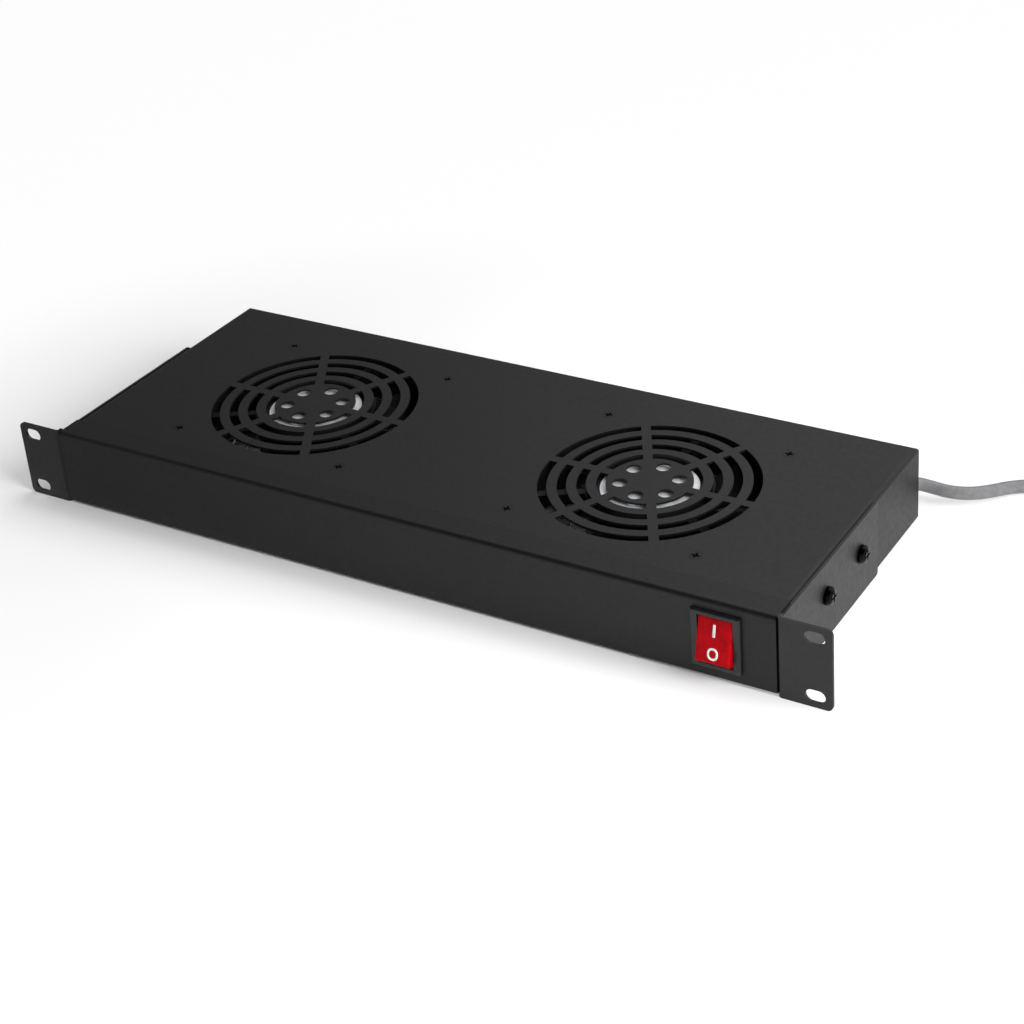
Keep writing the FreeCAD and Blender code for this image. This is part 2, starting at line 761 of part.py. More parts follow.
def build_guard(name, side):
    """Welded wire, drawn flat-sided: rings on four bent legs that end in eyes under the frame's screws."""
    body = new_body("fan_guard_" + name)
    wire = "guard_wire"
    eye_reach = "fan_hole_pitch / sqrt(2)"
    low = "-(fan_depth + guard_wire)"
    shoulder = "guard_first + (guard_rings - 1) * guard_step + guard_wire"
    foot = shoulder + " + 2 * guard_rise"
    legs = sketch_on(body, "leg_side", role="XZ_Plane")
    outline(legs, [("guard_first - 1", low + " - guard_rise"), (shoulder, low + " - guard_rise"),
                   (foot, low),
                   (eye_reach + " - guard_eye + 0.6", low),
                   (eye_reach + " - guard_eye + 0.6", "-fan_depth"), (foot, "-fan_depth"),
                   (shoulder, "-fan_depth - guard_rise"), ("guard_first - 1", "-fan_depth - guard_rise")])
    leg = pad(body, legs, wire, "leg", both_ways=True)
    turn = sketch_on(body, "leg_circle")
    circle(turn, "0", "0", "guard_first")
    polar(body, leg, turn, 4, "legs")
    eyes = sketch_on(body, "eyes", z="-fan_depth")
    for x, y in ((1, 0), (0, 1), (-1, 0), (0, -1)):
        for radius in ("fan_screw_thread / 2 + 0.3", "guard_eye"):
            circle(eyes, "%d * %s" % (x, eye_reach), "%d * %s" % (y, eye_reach), radius)
    pad(body, eyes, wire, "eye_rings", backwards=True)
    rings = sketch_on(body, "ring_sections", role="XZ_Plane")
    for ring in range(GUARD_RINGS):
        middle = "guard_first + %d * guard_step" % ring
        rectangle(rings, middle + " - guard_wire / 2", middle + " + guard_wire / 2",
                  "-fan_depth - guard_rise - 0.3",
                  "-fan_depth - guard_rise - 0.3 + guard_wire")
    body.Tip = revolve(body, rings, "rings")
    body.Placement = FreeCAD.Placement(vector(0, 0), FreeCAD.Rotation(vector(0, 0, 1), 45))
    place_on_fan(body, side)
    return node(body)


for fan_name, fan_side in FANS.items():
    build_fan_frame(fan_name, fan_side)
    build_fan_label(fan_name, fan_side)
    build_stator(fan_name, fan_side)
    build_bearings(fan_name, fan_side)
    build_shaft(fan_name, fan_side)
    build_rotor_core(fan_name, fan_side)
    build_impeller(fan_name, fan_side)
    build_guard(fan_name, fan_side)


# ---------------- fasteners

def countersunk_screw():
    """Head up, with the head's face at zero and a cross recess."""
    body = new_body("countersunk_screw")
    thread = "fan_screw_thread / 2"
    head = "fan_screw_head / 2"
    length = "tray_gauge + fan_depth + guard_wire + fan_nut_height + fan_screw_spare"
    profile = sketch_on(body, "screw_profile", role="XZ_Plane")
    outline(profile, [("0", "0"), (head, "0"), (thread, "%s - %s" % (thread, head)),
                      (thread, "0.6 - (%s)" % length),
                      (thread + " - 0.6", "-(%s)" % length), ("0", "-(%s)" % length)])
    revolve(body, profile, "screw")
    cross_recess(body, head + " * 0.6", "fan_screw_thread / 2.6")
    return body


def cross_recess(body, reach, depth):
    half_blade = reach + " / 3"
    for label, across, along in (("one", reach, half_blade), ("two", half_blade, reach)):
        cross = sketch_on(body, "recess_" + label)
        rectangle(cross, "-" + across, across, "-" + along, along)
        pocket(body, cross, "recess_cut_" + label, depth)


def pan_screw():
    """Head up, with the seat under the head at zero."""
    body = new_body("pan_screw")
    thread = "arm_screw_thread / 2"
    head = "arm_screw_head / 2"
    tall = "arm_screw_head_height"
    profile = sketch_on(body, "screw_profile", role="XZ_Plane")
    outline(profile, [("0", tall), (head + " * 0.55", tall), (head + " * 0.86", tall + " * 0.78"),
                      (head, tall + " * 0.4"), (head, "0"),
                      (thread, "0"), (thread, "0.6 - arm_screw_length"),
                      (thread + " - 0.6", "-arm_screw_length"),
                      ("0", "-arm_screw_length")])
    revolve(body, profile, "screw")
    for label, across, along in (("one", head + " * 0.55", "0.6"), ("two", "0.6", head + " * 0.55")):
        cross = sketch_on(body, "recess_" + label, z=tall)
        rectangle(cross, "-" + across, across, "-" + along, along)
        pocket(body, cross, "recess_cut_" + label, tall + " * 0.6")
    return body


def hex_nut(label, flats, height, thread):
    """Its upper face at zero."""
    body = new_body(label)
    plan = sketch_on(body, "hexagon")
    corner = "(%s) / sqrt(3)" % flats
    outline(plan, [(corner, "0"), (corner + " / 2", flats + " / 2"),
                   ("-(%s) / 2" % corner, flats + " / 2"), ("-(%s)" % corner, "0"),
                   ("-(%s) / 2" % corner, "-(%s) / 2" % flats), (corner + " / 2", "-(%s) / 2" % flats)])
    circle(plan, "0", "0", thread + " / 2")
    pad(body, plan, height, "nut", backwards=True)
    return body


def at(body, position, turn=None):
    """A copy of the body's shape, turned about its origin and moved."""
    shape = body.Shape.copy()
    shape.Placement = FreeCAD.Placement(position, turn or FreeCAD.Rotation())
    return shape


def build_fasteners():
    fan_places = []
    for side in FANS.values():
        for across in (-1, 1):
            for back in (-1, 1):
                x = value(fan_across(side)) + across * value(HALF_HOLES)
                fan_places.append(vector(x, value("fan_setback") + back * value(HALF_HOLES)))
    screw = countersunk_screw()
    group("fan_screws", [at(screw, place + vector(0, 0, value("plate_height"))) for place in fan_places])
    nut = hex_nut("fan_nut", "fan_nut_flats", "fan_nut_height", "fan_screw_thread")
    nut_seat = vector(0, 0, value(PLATE_UNDERSIDE + " - fan_depth - guard_wire"))
    group("fan_nuts", [at(nut, place + nut_seat) for place in fan_places])
    screws = []
    nuts = []
    arm_screw = pan_screw()
    arm_nut = hex_nut("arm_nut", "arm_nut_flats", "arm_nut_height", "arm_screw_thread")
    for side in FANS.values():
        outward = FreeCAD.Rotation(vector(0, 0, 1), vector(side, 0, 0))
        for step in (0, value("arm_screw_pitch")):
            middle = vector(0, value("arm_screw_setback") + step, value("arm_screw_height"))
            screws.append(at(arm_screw, middle + vector(side * value("tray_width / 2 + bracket_gauge"), 0),
                             outward))
            packing = value("tag_thickness") if side > 0 and step == 0 else 0.0
            inner_wall = value("tray_width / 2 - tray_gauge")
            nuts.append(at(arm_nut, middle + vector(side * (inner_wall - packing), 0), outward))
    group("ear_screws", screws)
    group("ear_nuts", nuts)


build_fasteners()


# ---------------- rocker switch: built about the middle of its bezel, on the panel's face

SWITCH_BACK = "switch_body_depth"
CAVITY_HALF_WIDTH = "rocker_half_width + rocker_gap"
ROCKER_REACH = "rocker_half_length * cos(rocker_tilt * 1 deg) + rocker_face * sin(rocker_tilt * 1 deg)"
CAVITY_HALF_HEIGHT = "(" + ROCKER_REACH + " + rocker_gap)"


def place_in_switch(body):
    return placed(body, "switch_across", "-bracket_gauge", "switch_up")


def build_switch_housing():
    body = new_body("switch_housing")
    front = sketch_on(body, "bezel_plan", role="XZ_Plane")
    rectangle(front, "-bezel_width / 2", "bezel_width / 2", "-bezel_height / 2", "bezel_height / 2")
    bezel = pad(body, front, "bezel_proud", "bezel")
    face = -value("bezel_proud")

    def rim(middle, along, edge):
        return near(middle.y, face)

    fillet(body, bezel, rim, "bezel_proud * 0.45", "bezel_rim")
    plan = sketch_on(body, "body_plan", role="XZ_Plane")
    rectangle(plan, "-switch_body_width / 2", "switch_body_width / 2", "-switch_body_height / 2",
              "switch_body_height / 2")
    pad(body, plan, SWITCH_BACK, "switch_body", backwards=True)
    cavity = sketch_on(body, "cavity_plan", role="XZ_Plane", z="bezel_proud")
    rectangle(cavity, "-(%s)" % CAVITY_HALF_WIDTH, CAVITY_HALF_WIDTH, "-" + CAVITY_HALF_HEIGHT,
              CAVITY_HALF_HEIGHT)
    pocket(body, cavity, "cavity", "bezel_proud + switch_body_depth - switch_wall")
    pivots = sketch_on(body, "pivot_holes", role="YZ_Plane")
    circle(pivots, "rocker_pivot", "0", "trunnion_radius + trunnion_play")
    pocket(body, pivots, "pivot_hole_cuts")
    tabs = sketch_on(body, "tab_slots", role="XZ_Plane", z="-" + SWITCH_BACK)
    for x in ("-contact_spacing / 2", "contact_spacing / 2"):
        for z in ("0", "-throw_drop"):
            rectangle(tabs, x + " - tab_width / 2", x + " + tab_width / 2", z + " - tab_thickness / 2",
                      z + " + tab_thickness / 2")
    pocket(body, tabs, "tab_slot_cuts", "2 * switch_wall", backwards=True)
    place_in_switch(body)
    return node(body)


def build_switch_rocker():
    """A flat-faced paddle with side trunnions and two legs, built level and then tipped to its ON stop."""
    body = new_body("switch_rocker")
    side_view = sketch_on(body, "paddle_profile", role="YZ_Plane")
    end = "rocker_half_length"
    front = "-rocker_face"
    back = "rocker_skirt - rocker_face"
    cheek = "trunnion_radius + 1"
    outline(side_view, [(front, "-" + end), (front, end), (back, end), (cheek, cheek + " + 1"),
                        (cheek, "-(%s + 1)" % cheek), (back, "-" + end)])
    paddle = pad(body, side_view, "2 * rocker_half_width", "paddle", both_ways=True)
    face = -value("rocker_face")

    def face_ends(middle, along, edge):
        return near(middle.y, face)

    fillet(body, paddle, face_ends, "rocker_shell / 2", "paddle_edges")
    hollow = sketch_on(body, "hollow_profile", role="YZ_Plane")
    rectangle(hollow, front + " + rocker_shell", "rocker_pivot * 2", "rocker_shell - " + end,
              end + " - rocker_shell")
    cut = pocket(body, hollow, "hollow", "2 * (rocker_half_width - rocker_shell)")
    cut.Midplane = True
    doc.recompute()
    pins = sketch_on(body, "trunnion_section", role="YZ_Plane", z="rocker_half_width - rocker_shell")
    circle(pins, "0", "0", "trunnion_radius")
    reach = "rocker_shell + rocker_gap + 1.2"
    pad(body, pins, reach, "right_trunnion")
    pins = sketch_on(body, "trunnion_section", role="YZ_Plane", z="rocker_shell - rocker_half_width")
    circle(pins, "0", "0", "trunnion_radius")
    pad(body, pins, reach, "left_trunnion", backwards=True)
    legs = sketch_on(body, "leg_sections", role="XZ_Plane", z="rocker_face - rocker_shell / 2")
    for x in ("-contact_spacing / 2", "contact_spacing / 2"):
        circle(legs, x, "0", "leg_radius")
    pad(body, legs, "rocker_face - rocker_shell / 2 + leg_length", "legs", backwards=True)
    return place_on_rocker(body)


def place_on_rocker(body):
    """The pivot's place, and the tilt of the ON position about it."""
    body.Placement = FreeCAD.Placement(vector(0, 0), FreeCAD.Rotation(vector(1, 0, 0),
                                                                      -value("rocker_tilt")))
    body.setExpression("Placement.Rotation.Angle", bound("-rocker_tilt * 1 deg"))
    placed(body, "switch_across", "rocker_pivot - bracket_gauge", "switch_up")
    return node(body)


def build_switch_plungers():
    body = new_body("switch_plungers")
    pins = sketch_on(body, "pin_sections", role="XZ_Plane", z="-leg_length")
    for x in ("-contact_spacing / 2", "contact_spacing / 2"):
        circle(pins, x, "0", "plunger_radius")
    pad(body, pins, "plunger_length", "pins", backwards=True)
    return place_on_rocker(body)


def build_switch_contacts():
    """Two blades on the middle tabs, closed onto the lower tabs as they are when the rocker is ON."""
    body = new_body("switch_contacts")
    blades = sketch_on(body, "blade_plan", role="XZ_Plane")
    for x in ("-contact_spacing / 2", "contact_spacing / 2"):
        rectangle(blades, x + " - contact_width / 2", x + " + contact_width / 2", "-contact_length / 2",
                  "contact_length / 2")
    pad(body, blades, "contact_thickness", "blades")
    body.Placement = FreeCAD.Placement(vector(0, 0), FreeCAD.Rotation(vector(1, 0, 0),
                                                                      value("contact_tilt")))
    body.setExpression("Placement.Rotation.Angle", bound("contact_tilt * 1 deg"))
    placed(body, "switch_across", "contact_setback - bracket_gauge", "switch_up")
    return node(body)


def build_switch_terminals():
    """Two middle tabs that the blades rock on and two lower ones that they close on."""
    body = new_body("switch_terminals")
    tail_end = SWITCH_BACK + " + tab_length"
    for label, z, start in (("middle", "0", "contact_setback + 0.1"),
                            ("lower", "-throw_drop", "contact_setback + contact_thickness")):
        tabs = sketch_on(body, label + "_tabs", role="XZ_Plane", z="-(%s)" % start)
        for x in ("-contact_spacing / 2", "contact_spacing / 2"):
            rectangle(tabs, x + " - tab_width / 2", x + " + tab_width / 2", z + " - tab_thickness / 2",
                      z + " + tab_thickness / 2")
        pad(body, tabs, "%s - (%s)" % (tail_end, start), label + "_blades", backwards=True)
    place_in_switch(body)
    return node(body)


def build_switch_lamp():
    """A small neon tube between the two poles, under the translucent paddle."""
    body = new_body("switch_lamp")
    profile = sketch_on(body, "lamp_profile", role="XY_Plane")
    outline(profile, [("0", "0.2"), ("lamp_radius * 0.6", "0.2"), ("lamp_radius", "1.2"),
                      ("lamp_radius", "12"),
                      ("lamp_radius * 0.5", "12.6"), ("lamp_radius * 0.5",
                                                      "switch_body_depth - switch_wall"),
                      ("0", "switch_body_depth - switch_wall")])
    revolve(body, profile, "lamp")
    place_in_switch(body)
    return node(body)


build_switch_housing()
build_switch_rocker()
build_switch_plungers()
build_switch_contacts()
build_switch_terminals()
build_switch_lamp()


# ---------------- supply cord: gland, cord and plug

def build_gland():
    """A bush pushed through the rear wall: flange and short nose outside, gripping barrel inside."""
    body = new_body("cord_gland")
    bore = "cord_diameter / 2"
    profile = sketch_on(body, "gland_profile", role="XY_Plane")
    outside = "gland_flange_thickness"
    inside = "-tray_gauge"
    outline(profile, [(bore, outside + " + gland_nose_length"),
                      ("gland_nose / 2", outside + " + gland_nose_length"),
                      ("gland_nose / 2 + 0.8", outside), ("gland_flange / 2 - 0.6", outside),
                      ("gland_flange / 2", outside + " - 0.6"),
                      ("gland_flange / 2", "0"), ("gland_neck / 2", "0"), ("gland_neck / 2", inside),
                      ("gland_neck / 2 + 0.5", inside + " - 0.6"),
                      ("gland_neck / 2 - 0.4", inside + " - gland_tail"),
                      (bore, inside + " - gland_tail")])
    revolve(body, profile, "bush")
    placed(body, "gland_across", "tray_rear", "gland_up")
    return node(body)


build_gland()


def bent_tube(points, diameter, label):
    """A tube along straight runs joined by tangent arcs, each as large as its shorter run allows."""
    start = points[0]
    edges = []
    radii = []
    count = len(points)
    for index in range(1, count - 1):
        before = points[index] - points[index - 1]
        after = points[index + 1] - points[index]
        turn = before.getAngle(after)
        cut = 0.45 * min(before.Length, after.Length)
        radii.append(cut / math.tan(turn / 2))
        first = points[index] - FreeCAD.Vector(before).normalize() * cut
        last = points[index] + FreeCAD.Vector(after).normalize() * cut
        inward = (FreeCAD.Vector(after).normalize() - FreeCAD.Vector(before).normalize()).normalize()
        middle = points[index] + inward * (radii[-1] / math.cos(turn / 2) - radii[-1])
        edges.append(Part.LineSegment(start, first).toShape())
        edges.append(Part.Arc(first, middle, last).toShape())
        start = last
    edges.append(Part.LineSegment(start, points[-1]).toShape())
    path = Part.Wire(edges)
    ring = Part.Wire(Part.Circle(points[0], points[1] - points[0], diameter / 2).toShape())
    tube = path.makePipeShell([ring], True, False, 1)
    length = sum(edge.Length for edge in edges)
    share = tube.Volume / (math.pi * diameter ** 2 / 4 * length)
    print("%s: length %.1f, volume share %.4f, radii %s" % (label, length, share,
                                                            ["%.0f" % radius for radius in radii]))
    return tube


def build_tube(label, points, diameter):
    item = doc.addObject("Part::Feature", label)
    item.Label = label
    item.Shape = bent_tube([vector(*point) for point in points], diameter, label)
    return node(item)


# Surface that the tray's brackets stand on, and the middle of a cord that lies on it.
FLOOR = value("-ear_height / 2")
CORD = value("cord_diameter")
LYING = FLOOR + CORD / 2

GLAND_TIP = (value("gland_across"), value("tray_rear + gland_flange_thickness + gland_nose_length"),
             value("gland_up"))
CORD_ROUTE = [
    GLAND_TIP,
    (205.4, 179.2, -8.8),
    (208.4, 183.2, -9.8),
    (215.0, 184.9, -11.4),
    (224.4, 185.8, -12.6),
    (233.6, 191.0, -14.2),
    (241.0, 200.2, -16.0),
    (248.0, 211.0, -17.6),
    (258.5, 219.0, LYING),
    (275.0, 224.0, LYING),
    (293.0, 225.5, LYING),
    (311.6, 224.2, LYING),
]
build_tube("cord_run", CORD_ROUTE, CORD)

COIL_CENTRE = (316.0, 275.0)
COIL_TURNS_ACROSS = 4
COIL_LAYERS = 2


def build_coil():
    """The put-away length as the ring it fills: four turns side by side in two layers."""
    body = new_body("cord_coil")
    profile = sketch_on(body, "coil_profile", role="XZ_Plane")
    half = "%d * cord_diameter / 2" % COIL_TURNS_ACROSS
    rectangle(profile, "coil_radius - " + half, "coil_radius + " + half, "0",
              "%d * cord_diameter" % COIL_LAYERS)
    revolve(body, profile, "coil")
    body.Placement.Base = vector(COIL_CENTRE[0], COIL_CENTRE[1], 0)
    body.setExpression("Placement.Base.z", bound("-ear_height / 2"))
    return node(body)


build_coil()

PLUG_MIDDLE = FLOOR + value("plug_height / 2")
TAIL_ROUTE = [
    (316.0, 324.2, LYING + CORD),
    (303.0, 325.2, PLUG_MIDDLE),
    (290.0, 327.5, PLUG_MIDDLE),
]
build_tube("cord_tail", TAIL_ROUTE, CORD)


def build_plug():
    """A moulded mains connector with three flat pins, lying on its side beside the coil."""
    body = new_body("plug_body")
    plan = sketch_on(body, "plug_plan", role="XZ_Plane")
    half = "plug_width / 2"
    rectangle(plan, "-" + half, half, "0", "plug_height")
    block = pad(body, plan, "plug_length", "plug_block", backwards=True)

    def long_edges(middle, along, edge):
        return abs(along.y) > 0.9

    fillet(body, block, long_edges, "plug_height / 6", "plug_edges")
    boot = sketch_on(body, "boot_profile", role="YZ_Plane")
    middle = "plug_height / 2"
    outline(boot, [("-plug_boot", middle), ("-plug_boot", middle + " + cord_diameter / 2 + 0.6"),
                   ("0.5", middle + " + plug_height / 2.8"),
                   ("0.5", middle)])
    axis = boot.addGeometry(Part.LineSegment(vector(-value("plug_boot"), value(middle)),
                                             vector(0.5, value(middle))), True)
    hold_point(boot, axis, 1, "-plug_boot", middle)
    hold_point(boot, axis, 2, "0.5", middle)
    feature = body.newObject("PartDesign::Revolution", "boot")
    feature.Profile = boot
    feature.ReferenceAxis = (boot, ["Axis0"])
    feature.Angle = 360
    doc.recompute()
    return place_plug(body)


def place_plug(body):
    """Behind the tail of the cord, turned to follow its last run."""
    end = vector(*TAIL_ROUTE[-1])
    last = end - vector(*TAIL_ROUTE[-2])
    heading = FreeCAD.Rotation(vector(0, 0, 1), math.degrees(math.atan2(last.y, last.x)) - 90)
    back = heading.multVec(vector(0, value("plug_boot"), 0))
    body.Placement = FreeCAD.Placement(vector(end.x, end.y, FLOOR) + back, heading)
    doc.recompute()
    return node(body)


def build_plug_pins():
    body = new_body("plug_pins")
    middle = "plug_height / 2"
    pins = sketch_on(body, "pin_sections", role="XZ_Plane", z="-plug_length")
    for x, drop in (("-7", "2"), ("0", "-2"), ("7", "2")):
        rectangle(pins, x + " - pin_thickness / 2", x + " + pin_thickness / 2",
                  middle + " - pin_width / 2 + " + drop,
                  middle + " + pin_width / 2 + " + drop)
    pad(body, pins, "pin_length", "pins", backwards=True)
    return place_plug(body)


build_plug()
build_plug_pins()


# ---------------- wiring held inside the tray

LEAD = value("lead_diameter")
CORE = value("core_diameter")
POLES = ("-contact_spacing / 2", "contact_spacing / 2")
SLEEVE_START = "switch_body_depth + sleeve_setback"


def build_tab_sleeves():
    """Push-on connectors over the switch's four tabs."""
    body = new_body("tab_sleeves")
    plan = sketch_on(body, "sleeve_plan", role="XZ_Plane", z="-(%s)" % SLEEVE_START)
    slots = sketch_on(body, "sleeve_slots", role="XZ_Plane", z="-(%s)" % SLEEVE_START)
    for sketch, width, thickness in ((plan, "sleeve_width", "sleeve_thickness"),
                                     (slots, "tab_width", "tab_thickness")):
        for x in POLES:
            for z in ("0", "-throw_drop"):
                rectangle(sketch, "%s - %s / 2" % (x, width), "%s + %s / 2" % (x, width),
                          "%s - %s / 2" % (z, thickness),
                          "%s + %s / 2" % (z, thickness))
    pad(body, plan, "sleeve_length", "sleeves", backwards=True)
    pocket(body, slots, "slot_cuts", "tab_length - sleeve_setback")
    place_in_switch(body)
    return node(body)


def build_earth_tag():
    """A ring tongue clamped under the front right-hand bracket nut."""
    body = new_body("earth_tag")
    plan = sketch_on(body, "tag_plan", role="YZ_Plane", z="tray_width / 2 - tray_gauge - tag_thickness")
    circle(plan, "arm_screw_setback", "arm_screw_height", "tag_radius")
    circle(plan, "arm_screw_setback", "arm_screw_height", "arm_screw_thread / 2 + 0.1")
    pad(body, plan, "tag_thickness", "tag_ring")
    tongue = sketch_on(body, "tongue_plan", role="YZ_Plane",
                       z="tray_width / 2 - tray_gauge - tag_thickness")
    rectangle(tongue, "arm_screw_setback - tag_radius / 2.2", "arm_screw_setback + tag_radius / 2.2",
              "arm_screw_height - tag_drop", "arm_screw_height - arm_screw_thread / 2 - 0.8")
    pad(body, tongue, "tag_thickness", "tag_tongue")
    return node(body)


def core_group(label, routes):
    shapes = [bent_tube([vector(*point) for point in route], CORE, label) for route in routes]
    return group(label, shapes)


def build_wiring():
    """Sheathed cord to near the switch, cores to the tabs and the earth tag, leads on to the fans."""
    switch_x = value("switch_across")
    switch_z = value("switch_up")
    throw_z = value("switch_up - throw_drop")
    sleeve_end = value(SLEEVE_START + " + sleeve_length - bracket_gauge")
    pole = value("contact_spacing / 2")
    gland_x, gland_y, gland_z = GLAND_TIP
    inside = value("tray_rear - tray_gauge - gland_tail")
    sheath_end = (switch_x + 7.0, sleeve_end + 26.0, throw_z - 4.0)
    build_tube("supply_lead", [
        GLAND_TIP,
        (gland_x, inside - 10, gland_z),
        (gland_x - 5, inside - 38, gland_z - 1.5),
        (gland_x - 11, inside - 70, gland_z - 2.5),
        (sheath_end[0], sheath_end[1] + 14, sheath_end[2]),
        sheath_end,
    ], CORD)
    end_x, end_y, end_z = sheath_end
    core_group("supply_cores", [
        [(end_x - 1.6, end_y, end_z - 0.9), (end_x - 1.6, end_y - 8, end_z - 0.9),
         (switch_x - pole, end_y - 16, throw_z - 1),
         (switch_x - pole, sleeve_end, throw_z)],
        [(end_x, end_y, end_z + 1.9), (end_x, end_y - 9, end_z + 1.9),
         (switch_x + pole, end_y - 18, throw_z),
         (switch_x + pole, sleeve_end, throw_z)],
    ])
    tag_x = value("tray_width / 2 - tray_gauge - tag_thickness")
    tag_y = value("arm_screw_setback")
    tag_z = value("arm_screw_height - tag_drop") + CORE / 2 + 0.4
    core_group("earth_lead", [
        [(end_x + 1.6, end_y, end_z - 0.9), (end_x + 1.6, end_y - 7, end_z - 0.9),
         (end_x + 9, tag_y, tag_z),
         (tag_x, tag_y, tag_z)],
    ])
    join = (switch_x - 3.5, sleeve_end + 18.0, switch_z)
    core_group("switch_cores", [
        [(switch_x - pole, sleeve_end, switch_z), (switch_x - pole, sleeve_end + 6, switch_z),
         (join[0] - 1.4, join[1] - 6, switch_z),
         (join[0] - 1.4, join[1], switch_z)],
        [(switch_x + pole, sleeve_end, switch_z), (switch_x + pole, sleeve_end + 5, switch_z),
         (join[0] + 1.4, join[1] - 6, switch_z),
         (join[0] + 1.4, join[1], switch_z)],
    ])
    lead_y = value("fan_setback + fan_size / 2 + terminal_reach / 2")
    lead_z = value(PLATE_UNDERSIDE + " - fan_flange - terminal_height / 2")
    housing = {side: value("%s + terminal_offset" % fan_across(side)) for side in FANS.values()}
    right_edge = value("fan_pitch / 2 + fan_size / 2")
    rear_edge = value("fan_setback + fan_size / 2")
    entry = value("terminal_length")
    build_tube("fan_lead_right", [
        join,
        (join[0] - 1.5, join[1] + 14, switch_z + 1.5),
        (right_edge + 8, join[1] + 34, lead_z - 1.5),
        (right_edge + 6.5, rear_edge - 30, lead_z),
        (right_edge + 6.5, rear_edge - 4, lead_z),
        (right_edge - 3.5, lead_y, lead_z),
        (housing[1] + entry, lead_y, lead_z),
    ], LEAD)
    build_tube("fan_lead_left", [
        (housing[1], lead_y, lead_z),
        (housing[1] - 34, lead_y + 1, lead_z - 2),
        (housing[1] - 90, lead_y + 6, lead_z - 5),
        (housing[-1] + entry + 40, lead_y + 2, lead_z - 2),
        (housing[-1] + entry, lead_y, lead_z),
    ], LEAD)


build_tab_sleeves()
build_earth_tag()
build_wiring()


# ---------------- checks and files

doc.recompute()
for item in doc.Objects:
    if "Invalid" in item.State or "Error" in item.State:
        raise ValueError("%s is %s" % (item.Label, item.State))
for item in NODES:
    if item.Shape.isNull() or not item.Shape.isValid():
        raise ValueError(item.Label + " has no valid shape")
os.makedirs("parts", exist_ok=True)
for item in NODES:
    item.Shape.exportStep("parts/%s.step" % item.Label)
print(len(NODES), "parts")
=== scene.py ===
# %% [markdown]
# # A rack fan tray
#
# The part is a folded steel tray, one rack unit high, with two fans bolted under punched grilles, a lit rocker
# switch on its front panel, slotted ears and a mains cord. Its construction comes packed, as the frame, with every
# piece in its place. This lesson adds the camera, the lights, the cord as one smooth curve, the small shapes that
# the construction leaves out, and a finish for every surface.

# %% Load the frame
import math

import bpy
import numpy as np
from mathutils import Matrix, Vector


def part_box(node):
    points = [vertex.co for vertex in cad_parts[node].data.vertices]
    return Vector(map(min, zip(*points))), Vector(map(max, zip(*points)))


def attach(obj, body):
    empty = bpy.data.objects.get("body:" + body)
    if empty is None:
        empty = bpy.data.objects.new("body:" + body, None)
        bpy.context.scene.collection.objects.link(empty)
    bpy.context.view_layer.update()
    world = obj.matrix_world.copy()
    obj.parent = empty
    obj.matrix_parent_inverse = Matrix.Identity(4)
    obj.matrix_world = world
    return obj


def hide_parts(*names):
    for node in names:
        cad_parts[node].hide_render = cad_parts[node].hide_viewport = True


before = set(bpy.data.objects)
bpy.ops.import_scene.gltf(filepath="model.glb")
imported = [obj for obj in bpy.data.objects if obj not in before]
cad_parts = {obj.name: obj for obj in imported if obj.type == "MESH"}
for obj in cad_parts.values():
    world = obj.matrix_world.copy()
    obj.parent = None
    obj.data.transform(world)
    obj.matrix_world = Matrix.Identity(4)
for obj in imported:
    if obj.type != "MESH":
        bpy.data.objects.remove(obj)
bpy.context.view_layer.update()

MM = 0.001
scene = bpy.context.scene

# %% [markdown]
# ## The camera
#
# The tray is seen from the front right and from above, through a fairly long lens. A camera is easiest to read as a
# place, a point that it looks at and a small roll about its own axis, so it is built from those three. A slight
# shift of the lens moves the tray in the frame without turning the camera.

# %% The camera
CAMERA_PLACE = Vector((0.5701, -0.7378, 0.5764))
CAMERA_TARGET = Vector((-0.0114, 0.1825, 0.0))
CAMERA_ROLL = math.radians(4.33)
LENS = 76.6
SENSOR_WIDTH = 36.0
SHIFT_ACROSS = -0.04
SHIFT_UP = -0.12


def make_camera():
    """Place, then turn the camera's -Z along the line of sight and roll it about that line."""
    data = bpy.data.cameras.new("camera")
    data.lens = LENS
    data.sensor_width = SENSOR_WIDTH
    data.shift_x = SHIFT_ACROSS
    data.shift_y = SHIFT_UP
    camera = bpy.data.objects.new("camera", data)
    scene.collection.objects.link(camera)
    sight = CAMERA_TARGET - CAMERA_PLACE
    turn = sight.to_track_quat("-Z", "Y").to_matrix().to_4x4()
    roll = Matrix.Rotation(-CAMERA_ROLL, 4, "Z")
    camera.matrix_world = Matrix.Translation(CAMERA_PLACE) @ turn @ roll
    scene.camera = camera
    return camera


camera = make_camera()
sight_length = (CAMERA_TARGET - CAMERA_PLACE).length
print("the %s is %.2f m from what it looks at" % (camera.name, sight_length))

# %% [markdown]
# ## Colours and nodes
#
# Colours are written as the hex values that a screen shows. Blender works in linear light, so one function
# converts them. Another adds any shader node with its settings and its links, which keeps each material down to the
# few lines that say what it is.

# %% Helpers for materials
NOISE_LOW, NOISE_HIGH = 0.3, 0.7
COLOUR_ENDS = (0.35, 0.65)


def linear(code):
    """The sRGB curve undone: c / 12.92 up to 0.04045, and ((c + 0.055) / 1.055) ** 2.4 above."""
    channels = [int(code[i : i + 2], 16) / 255 for i in (1, 3, 5)]
    undone = [c / 12.92 if c <= 0.04045 else ((c + 0.055) / 1.055) ** 2.4 for c in channels]
    return (*undone, 1.0)


